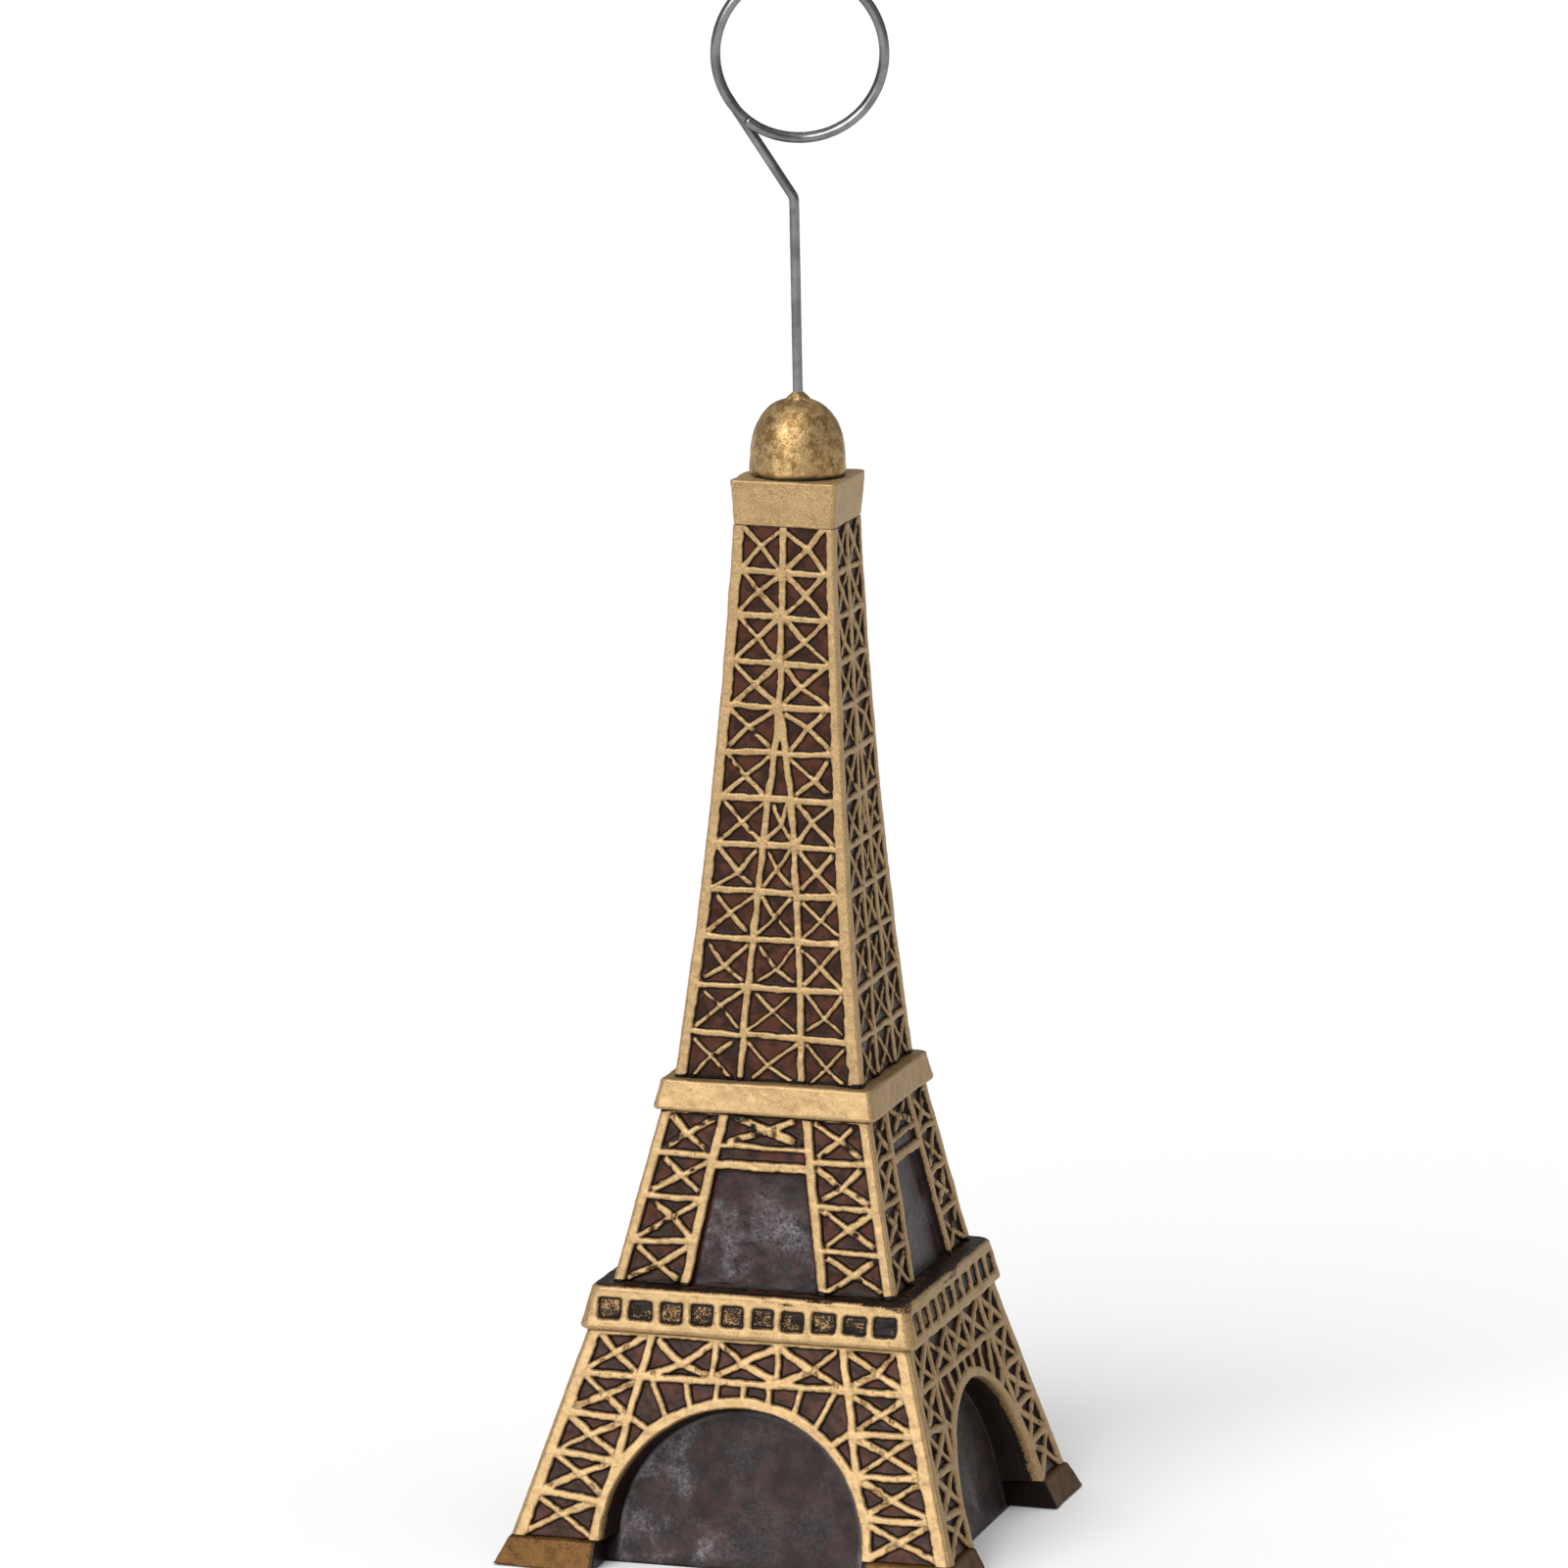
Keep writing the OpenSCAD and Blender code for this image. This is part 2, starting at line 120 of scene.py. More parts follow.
def hashed(ix, iy, iz, seed):
    """A value from -1 to 1 that looks random, for each cell of a grid of whole numbers."""
    n = (ix * 73856093) ^ (iy * 19349663) ^ (iz * 83492791) ^ (seed * 1000003 + 7)
    n = (n ^ (n >> 13)) * 1274126177
    return ((n ^ (n >> 16)) & 0xFFFF) / 32767.5 - 1


def noise(points, size, seed):
    """Smooth noise from -1 to 1 at each point, with blobs about size across."""
    q = points / size + 1000.5
    i = np.floor(q).astype(np.int64)
    f = q - i
    f = f * f * (3 - 2 * f)
    total = 0
    for dx in (0, 1):
        for dy in (0, 1):
            for dz in (0, 1):
                weight = ((f[..., 0] if dx else 1 - f[..., 0])
                          * (f[..., 1] if dy else 1 - f[..., 1])
                          * (f[..., 2] if dz else 1 - f[..., 2]))
                total = total + weight * hashed(i[..., 0] + dx, i[..., 1] + dy, i[..., 2] + dz, seed)
    return total


def blur(field, cells):
    """A field averaged over about 2 * cells + 1 grid steps each way, twice."""
    width = 2 * cells + 1
    for _ in range(2):
        for axis in (0, 1):
            pad = [(0, 0), (0, 0)]
            pad[axis] = (cells + 1, cells)
            sums = np.cumsum(np.pad(field, pad, mode="edge"), axis=axis)
            if axis == 0:
                field = (sums[width:] - sums[:-width]) / width
            else:
                field = (sums[:, width:] - sums[:, :-width]) / width
    return field


# ---- Mesh building ----

def mesh_piece(name, points, faces, look, material, body, nodes, flat_faces=()):
    """A piece from points in millimetres. look holds four values a point: relief, panel, wash with painted
    shade, tone.
    """
    mesh = bpy.data.meshes.new(name)
    quads = [np.asarray(f, np.int64) for f in faces if len(f)]
    sizes = np.concatenate([np.full(len(f), f.shape[1]) for f in quads])
    corners = np.concatenate([f.ravel() for f in quads])
    mesh.vertices.add(len(points))
    mesh.vertices.foreach_set("co", (points * MM).astype(np.float32).ravel())
    mesh.loops.add(len(corners))
    mesh.loops.foreach_set("vertex_index", corners.astype(np.int32))
    mesh.polygons.add(len(sizes))
    starts = np.concatenate([[0], np.cumsum(sizes)[:-1]])
    mesh.polygons.foreach_set("loop_start", starts.astype(np.int32))
    is_smooth = np.concatenate([np.full(len(f), k not in flat_faces) for k, f in enumerate(quads)])
    mesh.update(calc_edges=True)
    mesh.polygons.foreach_set("use_smooth", is_smooth)
    values = mesh.attributes.new("look", "FLOAT_COLOR", "POINT")
    values.data.foreach_set("color", look.astype(np.float32).ravel())
    mesh.materials.append(material)
    mesh.validate()
    mesh.update()
    piece = bpy.data.objects.new(name, mesh)
    bpy.context.scene.collection.objects.link(piece)
    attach(piece, body)
    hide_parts(*nodes)


def grid_faces(rows, columns, wrap=False):
    """Quads over a grid of points, whose front looks towards -Y when rows go up and columns to +X."""
    across = columns if wrap else columns - 1
    i, j = np.meshgrid(np.arange(rows - 1), np.arange(across), indexing="ij")
    k = (j + 1) % columns
    a, b, c, d = i * columns + j, i * columns + k, (i + 1) * columns + k, (i + 1) * columns + j
    return np.stack([a, b, c, d], -1).reshape(-1, 4)


def closed_round(points, ends):
    """A solid from rows of points that go all round, closed by a fan to each of two end points."""
    rows, around = points.shape[:2]
    j = np.arange(around)
    k, first, last = (j + 1) % around, rows * around, (rows - 1) * around
    caps = np.concatenate([np.stack([k, j, 0 * j + first], -1),
                           np.stack([last + j, last + k, 0 * j + first + 1], -1)])
    return np.concatenate([points.reshape(-1, 3), ends]), [grid_faces(rows, around, wrap=True), caps]


def turned(points, turn):
    c, s = math.cos(math.radians(turn)), math.sin(math.radians(turn))
    x, y, z = points[..., 0], points[..., 1], points[..., 2]
    return np.stack([c * x - s * y, s * x + c * y, z], -1)


class Face:
    """One face of a square stage, as a grid from mitre to mitre with rounded corners."""

    def __init__(self, halves, heights, corner, columns, turn):
        rows = len(heights)
        half = np.broadcast_to(np.asarray(halves, float), (rows,))[:, None]
        corner = np.broadcast_to(np.asarray(corner, float), (rows,))[:, None]
        flat = half - corner
        u = np.linspace(-1, 1, columns)[None, :] * (flat + corner * math.pi / 4)
        bend = np.clip((np.abs(u) - flat) / corner, 0, math.pi / 4)
        side, reach = np.sign(u), np.minimum(np.abs(u), flat)
        self.x = side * (reach + corner * bend / (math.pi / 4))
        self.z = np.broadcast_to(np.asarray(heights, float)[:, None], u.shape)
        self.half, self.shape = half, u.shape
        base = [side * (reach + corner * np.sin(bend)), -(flat + corner * np.cos(bend)), self.z]
        self.base = turned(np.stack(base, -1), turn)
        self.out = turned(np.stack([side * np.sin(bend), -np.cos(bend), 0 * u], -1), turn)

    def pushed(self, depth):
        return self.base - self.out * depth[..., None]

    def wedge(self, points):
        """Closes the grid's points into a solid wedge that ends on the tower's axis."""
        rows, columns = self.shape
        axis = np.stack([0 * points[:, 0, 0], 0 * points[:, 0, 1], points[:, 0, 2]], -1)
        first = rows * columns
        i = np.arange(rows - 1)
        left, right = i * columns, i * columns + columns - 1
        sides = np.concatenate([
            np.stack([first + i, left, left + columns, first + i + 1], -1),
            np.stack([right, first + i, first + i + 1, right + columns], -1)])
        j = np.arange(columns - 1)
        last = (rows - 1) * columns
        caps = np.concatenate([
            np.stack([j + 1, j, 0 * j + first], -1),
            np.stack([last + j, last + j + 1, 0 * j + first + rows - 1], -1)])
        return np.concatenate([points.reshape(-1, 3), axis]), [grid_faces(rows, columns), sides, caps]


class Lattice:
    """Raised bars over a face, added softly so that they thicken where they cross."""

    SOFT = 0.13
    SHARPNESS = 4

    def __init__(self, face, seed, wobble=0.13, soft=SOFT):
        self.soft = soft
        self.random = np.random.default_rng(seed)
        away = smooth((face.half - np.abs(face.x)) / 1.6)
        flat = np.stack([face.x, face.z, 0 * face.x + 10 * seed], -1)
        self.x = face.x + away * (wobble * noise(flat, 1.9, seed) + 0.05 * noise(flat, 0.6, seed + 3))
        self.z = face.z + away * (wobble * noise(flat, 2.1, seed + 1) + 0.05 * noise(flat, 0.6, seed + 4))
        self.swell = 1 + 0.15 * noise(flat, 1.1, seed + 2) + 0.14 * noise(flat, 0.5, seed + 5)
        self.missed = smooth((noise(flat, 0.85, seed + 6) - 0.30) / 0.35)
        self.total = np.zeros(face.shape)
        self.row_z = face.z[:, 0]

    def add(self, rows, inside, top):
        """Raises where inside, the distance in from the bar's edge, is above 0."""
        rise = top * smooth((inside + self.soft) / (2 * self.soft))
        self.total[rows] += rise ** self.SHARPNESS

    def bar(self, a, b, width, top=1.0, fade=0, nicks=0.15):
        """A bar from a to b. It fades out over its last millimetres at b, and nicks lower it in places."""
        edge = width + 1
        rows = slice(*np.searchsorted(self.row_z, [min(a[1], b[1]) - edge, max(a[1], b[1]) + edge]))
        dx, dz = b[0] - a[0], b[1] - a[1]
        length = math.hypot(dx, dz)
        px, pz = self.x[rows] - a[0], self.z[rows] - a[1]
        t = np.clip((px * dx + pz * dz) / length ** 2, 0, 1)
        inside = self.swell[rows] * width / 2 - np.hypot(px - t * dx, pz - t * dz)
        if fade:
            top = top * (0.35 + 0.65 * smooth((1 - t) * length / fade))
        top = top * (1 - nicks * self.missed[rows])
        self.add(rows, inside, top)

    def area(self, inside):
        self.add(slice(None), inside, 1.0)

    def crossed_cell(self, corners, width, gap):
        """Two crossed bars in a cell, made of four arms that meet near its middle."""
        corners = np.asarray(corners, float)
        size = np.linalg.norm(corners[0] - corners[2])
        centre = corners.mean(0) + self.random.normal(0, 0.035, 2) * size
        for corner in corners:
            toward = (corner - centre) / np.linalg.norm(corner - centre)
            end = corner - toward * gap * self.random.uniform(0.5, 1.5)
            end = end + self.random.normal(0, 0.018, 2) * size
            arm_w = width * self.random.uniform(0.82, 1.18)
            fade = self.random.choice([0, 0.5, 1.1]) if gap > 0 else 0
            nicks = 0.50 if gap > 0 else 0.32
            self.bar(centre, end, arm_w, self.random.uniform(0.8, 0.97), fade, nicks)

    def height(self):
        """The relief, levelled off a little above 1, so that bars don't cross over posts as ridges."""
        high_up = self.total ** (1 / self.SHARPNESS)
        return np.where(high_up > 0.9, 0.9 + 0.12 * np.tanh((high_up - 0.9) / 0.12), high_up)


def cell_between(inner, inner_w, outer, outer_w, z0, z1):
    """A cell's corners, between an inner post's and an outer post's edges and two bars across."""
    inset = BAR_W / 2
    return [[inner(z0) + inner_w, z0 + inset], [outer(z0) - outer_w, z0 + inset],
            [outer(z1) - outer_w, z1 - inset], [inner(z1) + inner_w, z1 - inset]]


def mirrored(points):
    return [[-x, z] for x, z in points]


def rows_between(z0, z1, step, breaks=()):
    """Heights from z0 to z1 about step apart, with a doubled row at each break."""
    stops = [z0, *breaks, z1]
    runs = [np.linspace(a, b, max(2, round((b - a) / step) + 1)) for a, b in zip(stops, stops[1:])]
    for run in runs[1:]:
        run[0] += 0.02
    return np.concatenate(runs)


def cast_noise(points):
    """The casting's slight unevenness, in millimetres."""
    return 0.055 * noise(points, 2.6, 3) + 0.03 * noise(points, 0.9, 4) + 0.014 * noise(points, 0.4, 5)


def floor_noise(points):
    """Lumps left in the pockets' floors, in millimetres."""
    return 0.035 * noise(points, 1.1, 30) + 0.012 * noise(points, 0.35, 31)


def look_of(relief, panel, wash_and_shade, tone):
    values = np.broadcast_arrays(relief, panel, wash_and_shade, tone)
    return np.stack(values, -1).reshape(-1, 4)


def skin(name, face, relief, depth, panel, nodes, painted_shade=0.0, seams=(0.0, 0.0)):
    """A face's skin, pushed in by depth, with the paint's values on it.

    seams are the heights of the unpainted lines at its foot and under what stands on it, which are also
    darkened with painted shade."""
    wander = 0.16 * noise(face.base, 1.4, 41)
    foot = smooth((face.z[0, 0] + seams[0] + wander - face.z) / 0.15 + 0.5) if seams[0] else 0
    head = smooth((face.z - face.z[-1, 0] + seams[1] + wander) / 0.15 + 0.5) if seams[1] else 0
    unpainted_shaded_seam = np.maximum(foot, head)
    uneven = cast_noise(face.base)
    lumps = floor_noise(face.base) * smooth(1 - relief * 1.6) * (1 - panel)
    points = face.pushed(depth + uneven + lumps)
    # Painted shade darkens the hollows beside the bars, the deep arch walls and the seams.
    wash_and_shade = np.maximum(np.maximum(blur(relief, 2), painted_shade), unpainted_shaded_seam)
    relief = relief * (1 - unpainted_shaded_seam)
    tone = 0.5 + 0.5 * noise(face.base, 5.0, 1083)
    solid, faces = face.wedge(points)
    axis_look = np.zeros((face.shape[0], 4))
    look = np.concatenate([look_of(relief, panel, wash_and_shade, tone), axis_look])
    mesh_piece(name, solid, faces, look, LATTICE_PAINT, "tower", nodes, flat_faces=(1, 2))


# ---- Materials ----

class Shader:
    """A short way to write a material's nodes."""

    def __init__(self, name):
        self.material = bpy.data.materials.new(name)
        self.material.use_nodes = True
        self.tree = self.material.node_tree
        self.main = self.tree.nodes["Principled BSDF"]
        self.where = self.tree.nodes.new("ShaderNodeTexCoord").outputs["Object"]
        look = self.tree.nodes.new("ShaderNodeAttribute")
        look.attribute_name = "look"
        split = self.tree.nodes.new("ShaderNodeSeparateColor")
        self.tree.links.new(look.outputs["Color"], split.inputs[0])
        self.relief, self.panel, self.wash_and_shade = split.outputs
        self.tone = look.outputs["Alpha"]

    def put(self, socket, value):
        if isinstance(value, bpy.types.NodeSocket):
            self.tree.links.new(value, socket)
        elif isinstance(value, (tuple, list)) and len(value) == 3 and socket.type == "RGBA":
            socket.default_value = (*value, 1)
        else:
            socket.default_value = value

    def noise(self, size_mm, detail=3.0, rough=0.6):
        node = self.tree.nodes.new("ShaderNodeTexNoise")
        node.inputs["Scale"].default_value = 1 / (size_mm * MM)
        node.inputs["Detail"].default_value = detail
        node.inputs["Roughness"].default_value = rough
        self.tree.links.new(self.where, node.inputs["Vector"])
        return node.outputs["Fac"]

    def math(self, operation, a, b=0.0, c=0.0):
        node = self.tree.nodes.new("ShaderNodeMath")
        node.operation = operation
        for socket, value in zip(node.inputs, (a, b, c)):
            self.put(socket, value)
        return node.outputs[0]

    def range(self, value, low_in, high_in, low_out=0.0, high_out=1.0):
        node = self.tree.nodes.new("ShaderNodeMapRange")
        node.interpolation_type = "SMOOTHSTEP"
        for socket, v in zip(node.inputs, (value, low_in, high_in, low_out, high_out)):
            self.put(socket, v)
        return node.outputs[0]

    def mix(self, share, a, b):
        node = self.tree.nodes.new("ShaderNodeMix")
        node.data_type = "RGBA"
        # Inputs 6 and 7 and output 2 are the node's colours, and 2, 3 and 0 its plain numbers.
        self.put(node.inputs["Factor"], share)
        self.put(node.inputs[6], a)
        self.put(node.inputs[7], b)
        return node.outputs[2]

    def scale(self, colour, by):
        node = self.tree.nodes.new("ShaderNodeVectorMath")
        node.operation = "SCALE"
        self.tree.links.new(colour, node.inputs[0])
        self.tree.links.new(by, node.inputs["Scale"])
        return node.outputs[0]

    def blend(self, share, a, b):
        node = self.tree.nodes.new("ShaderNodeMix")
        self.put(node.inputs["Factor"], share)
        self.put(node.inputs[2], a)
        self.put(node.inputs[3], b)
        return node.outputs[0]

    def bump(self, height, depth_mm, strength=1.0, normal=None):
        node = self.tree.nodes.new("ShaderNodeBump")
        node.inputs["Distance"].default_value = depth_mm * MM
        node.inputs["Strength"].default_value = strength
        self.tree.links.new(height, node.inputs["Height"])
        if normal:
            self.tree.links.new(normal, node.inputs["Normal"])
        return node.outputs[0]

    def set(self, **values):
        for name, value in values.items():
            self.put(self.main.inputs[name.replace("_", " ")], value)
        return self.material


# Colours, in linear red, green and blue.
GOLD = (0.440, 0.297, 0.145)
GOLD_DEEP = (0.225, 0.130, 0.055)
GOLD_WORN = (0.130, 0.062, 0.028)
BRONZE = (0.125, 0.060, 0.017)
BRONZE_DEEP = (0.030, 0.012, 0.004)
RESIN = (0.026, 0.011, 0.006)
RESIN_RED = (0.070, 0.022, 0.012)
# The darkest colour serves the wash and the painted shade in the hollows.
WASH_AND_SHADE = (0.008, 0.004, 0.003)
# The pale bloom is partly a painted sheen.
BLOOM_AND_SHEEN = (0.28, 0.265, 0.285)
PANEL_DARK = (0.014, 0.008, 0.008)
PANEL_BROWN = (0.036, 0.018, 0.017)
# A painted highlight along the arch panels' edge.
PANEL_EDGE_HIGHLIGHT = (0.34, 0.31, 0.30)
LEAF_DEEP = (0.25, 0.14, 0.050)
LEAF_BRIGHT = (0.50, 0.335, 0.150)
LEAF_BROWN = (0.20, 0.10, 0.035)
STEEL_DARK = (0.17, 0.17, 0.175)
STEEL_LIGHT = (0.26, 0.26, 0.265)


def bloom_and_sheen_over(s, colour):
    """The dry pale bloom on the smooth panels, partly a painted sheen, in a fine mottle inside larger
    clouds.
    """
    grain = s.noise(0.45, 6, 0.85)
    cloud = s.noise(5.5, 3, 0.55)
    amount = s.math("MULTIPLY", s.range(grain, 0.36, 0.72), s.range(cloud, 0.42, 0.60, 0.10, 1.0))
    return s.mix(s.math("MULTIPLY", amount, s.range(s.tone, 0.33, 0.70, 0.12, 0.80)), colour, BLOOM_AND_SHEEN)


def painted_resin(name, paint=GOLD, paint_deep=GOLD_DEEP, edge=0.46, ragged=0.50, metal=0.55):
    """Dark resin with metallic paint dry-brushed over what stands up, and a wash with painted shade round
    it.
    """
    s = Shader(name)
    blotch = s.noise(1.3, 4)
    grit = s.noise(0.20, 3, 0.7)
    flakes = s.noise(0.20, 3, 0.6)
    dusting = s.noise(0.65, 5, 0.8)
    uneven = s.math("MULTIPLY_ADD", s.math("SUBTRACT", grit, 0.5), ragged, s.relief)
    uneven = s.math("MULTIPLY_ADD", s.math("SUBTRACT", blotch, 0.5), ragged * 0.7, uneven)
    painted = s.range(uneven, edge, edge + 0.10)
    # A few worn spots on the paint itself show the resin.
    worn = s.range(s.noise(0.50, 4, 0.75), 0.68, 0.73)
    painted = s.math("MULTIPLY", painted, s.math("SUBTRACT", 1.0, s.math("MULTIPLY", worn, 0.8)))
    # Thin paint is deeper in colour in faint patches. Near the relief's edges the deeper colour is thin
    # paint and also painted shade on the bars' sloping sides.
    thin_and_edge_shade = s.range(blotch, 0.30, 0.55, 0.35, 0.0)
    thin_and_edge_shade = s.math("MAXIMUM", thin_and_edge_shade, s.range(uneven, edge + 0.10, edge + 0.50, 0.85, 0.0))
    colour = s.mix(thin_and_edge_shade, paint, paint_deep)
    colour = s.mix(s.range(dusting, 0.57, 0.70, 0.0, 0.75), colour, s.mix(0.35, GOLD_WORN, paint_deep))
    colour = s.scale(colour, s.range(flakes, 0.34, 0.66, 0.74, 1.14))
    resin = s.mix(s.range(s.noise(2.2, 3), 0.42, 0.62), RESIN, RESIN_RED)
    # The wash darkens the resin with painted shade beside what stands up.
    resin = s.mix(s.range(s.wash_and_shade, 0.10, 0.42), resin, WASH_AND_SHADE)
    dust = s.math("MULTIPLY", s.range(grit, 0.60, 0.72), 0.22)
    resin = s.mix(s.math("MULTIPLY", dust, s.math("SUBTRACT", 1.0, s.panel)), resin, paint_deep)
    resin = s.mix(s.panel, resin, panel_colour(s))
    height = s.math("MULTIPLY_ADD", painted, 0.6, s.math("MULTIPLY", grit, 0.55))
    normal = s.bump(height, 0.035, 0.8)
    normal = s.bump(blotch, 0.10, 0.35, normal)
    resin_rough = s.range(grit, 0.3, 0.7, 0.26, 0.46)
    paint_rough = s.range(flakes, 0.3, 0.7, 0.38, 0.56)
    return s.set(
        Base_Color=s.mix(painted, resin, colour),
        Metallic=s.math("MULTIPLY", painted, metal),
        Specular_IOR_Level=0.11,
        Roughness=s.blend(painted, resin_rough, paint_rough),
        Normal=normal)


def panel_colour(s):
    base = s.mix(s.range(s.noise(2.5, 4), 0.35, 0.65), PANEL_DARK, PANEL_BROWN)
    # Painted shade darkens the panels along their edges.
    return s.mix(s.range(s.wash_and_shade, 0.05, 0.9), bloom_and_sheen_over(s, base), WASH_AND_SHADE)


def panel_resin(name):
    """The smooth resin behind the arches: satin, with a painted highlight line where it meets the wall."""
    s = Shader(name)
    grain = s.noise(0.5, 4)
    # The panel channel here carries the painted highlight line.
    colour = s.mix(s.math("MULTIPLY", s.panel, 0.35), panel_colour(s), PANEL_EDGE_HIGHLIGHT)
    return s.set(
        Base_Color=colour,
        Specular_IOR_Level=0.16,
        Roughness=s.range(grain, 0.3, 0.7, 0.36, 0.54),
        Normal=s.bump(grain, 0.02, 0.7))


def dome_gold(name):
    """Bright gold leaf paint, wrinkled, and browner in patches."""
    s = Shader(name)
    mottle = s.noise(1.3, 5, 0.75)
    patch = s.noise(0.55, 4, 0.8)
    flakes = s.noise(0.22, 3, 0.7)
    colour = s.mix(s.range(mottle, 0.38, 0.58), LEAF_DEEP, LEAF_BRIGHT)
    colour = s.mix(s.range(patch, 0.58, 0.70, 0, 0.45), colour, LEAF_BROWN)
    colour = s.scale(colour, s.range(flakes, 0.32, 0.68, 0.78, 1.18))
    colour = s.mix(s.range(s.wash_and_shade, 0.30, 0.85), colour, WASH_AND_SHADE)
    return s.set(
        Base_Color=colour,
        Metallic=s.range(s.wash_and_shade, 0.3, 0.8, 0.92, 0.0),
        Roughness=s.range(patch, 0.3, 0.7, 0.34, 0.52),
        Normal=s.bump(flakes, 0.06, 0.9, s.bump(mottle, 0.22, 0.7)))


def steel(name):
    s = Shader(name)
    draw_marks = s.noise(0.16, 3, 0.6)
    haze = s.noise(2.5, 3)
    return s.set(
        Base_Color=s.mix(s.range(haze, 0.35, 0.65), STEEL_DARK, STEEL_LIGHT),
        Metallic=1.0,
        Specular_Tint=(0.12, 0.12, 0.12),
        Roughness=s.range(draw_marks, 0.3, 0.7, 0.22, 0.36),
        Normal=s.bump(draw_marks, 0.006, 0.6))


LATTICE_PAINT = painted_resin("lattice_paint")
TRIM_PAINT = painted_resin("trim_paint", edge=0.34, ragged=0.36)
WINDOW_PAINT = painted_resin("window_paint", edge=0.43, ragged=1.0)
PLINTH_PAINT = painted_resin("plinth_paint", BRONZE, BRONZE_DEEP, edge=0.62, ragged=1.2, metal=0.5)
DECK_PAINT = painted_resin("deck_paint", BRONZE, BRONZE_DEEP, edge=0.60, ragged=0.6)
PANEL = panel_resin("panel_resin")
DOME_PAINT = dome_gold("dome_paint")
STEEL = steel("clip_steel")


# ---- Leg stage ----

STRUT_FEET = (0, 3, 6.1, 8.7)
STRUT_HEADS = (0, 3, 6.8, 10.8)
KITE_FOOT = 10.7
KITE_Z = 16.6
LEG_ROWS = 4
LEG_SEED = 11
WALL_DRAFT = 1.15
CORE_STEP = 0.3
CORE_COLUMNS = 120


def leg_half(z):
    return along(LEG_HALF, z, FOOT_Z, LEG_TOP_Z)


def core_half(z):
    return along(CORE_HALF, z, 0, LEG_TOP_Z)


def leg_inner(z):
    return along(LEG_INNER, z, FOOT_Z, LEG_TOP_Z)


def rim_z(x):
    return FOOT_Z + math.sqrt((ARCH_R + RIM_W) ** 2 - x * x)


def leg_cell(z0, z1):
    return cell_between(leg_inner, LEG_INNER_W, leg_half, LEG_CORNER_W, z0, z1)


def draw_leg_stage(face, seed):
    lattice = Lattice(face, seed)
    lattice.area(np.abs(face.x) - (face.half - LEG_CORNER_W * lattice.swell ** 0.5))
    post = np.abs(lattice.x) - along(LEG_INNER, lattice.z, FOOT_Z, LEG_TOP_Z)
    lattice.area(np.minimum(post, LEG_INNER_W - post))
    from_centre = np.hypot(lattice.x, lattice.z - FOOT_Z) - ARCH_R
    lattice.area(np.minimum(from_centre + 0.2, RIM_W - from_centre))
    lattice.area(lattice.z - (LEG_TOP_Z - 0.45))
    reach = leg_half(ARCH_BAR_Z) - 0.8
    lattice.bar((-reach, ARCH_BAR_Z), (reach, ARCH_BAR_Z), BAR_W)
    levels = [mix(FOOT_Z, ARCH_BAR_Z, i / LEG_ROWS) for i in range(LEG_ROWS + 1)]
    # Half the width of each of the three crossed cells over the arch, at their feet and heads.
    foot_half, head_half, inset = leg_inner(ARCH_BAR_Z) / 3, LEG_INNER[1] / 3, BAR_W / 2
    for side in (1, -1):
        for z in levels[1:-1]:
            # On the left the bars were carved sloping up towards the tower's corner.
            tilt = lattice.random.normal(0, 0.1) + (0.3 if side < 0 else 0)
            inner, outer = side * (leg_inner(z) + 0.4), side * (leg_half(z) - 0.8)
            lattice.bar((inner, z - tilt), (outer, z + tilt), BAR_W)
        for z0, z1 in zip([*levels[:-1], ARCH_BAR_Z], [*levels[1:], LEG_TOP_Z]):
            cell = leg_cell(z0, z1)
            lattice.crossed_cell(cell if side > 0 else mirrored(cell), BAR_W * 1.02, -0.2)
        for foot, head in zip(STRUT_FEET, STRUT_HEADS):
            if side > 0 or foot:
                lattice.bar((side * foot, rim_z(foot) - 0.3), (side * head, ARCH_BAR_Z), BAR_W * 0.9, 0.97)
        lattice.bar((side * KITE_FOOT, rim_z(KITE_FOOT) - 0.3), (side * leg_inner(KITE_Z), KITE_Z), BAR_W)
        lattice.bar((side * foot_half, ARCH_BAR_Z), (side * head_half, LEG_TOP_Z), BAR_W)
    for i in (-1, 0, 1):
        lattice.crossed_cell([[(2 * i - 1) * foot_half + inset, ARCH_BAR_Z + inset],
                              [(2 * i + 1) * foot_half - inset, ARCH_BAR_Z + inset],
                              [(2 * i + 1) * head_half - inset, LEG_TOP_Z - 2 * inset],
                              [(2 * i - 1) * head_half + inset, LEG_TOP_Z - 2 * inset]], BAR_W, -0.1)
    return lattice


def inside_arch(x, z):
    """How far a point is inside the arch, whose sides go straight down below the plinths' tops."""
    return np.where(z >= FOOT_Z, ARCH_R - np.hypot(x, z - FOOT_Z), ARCH_R - np.abs(x))


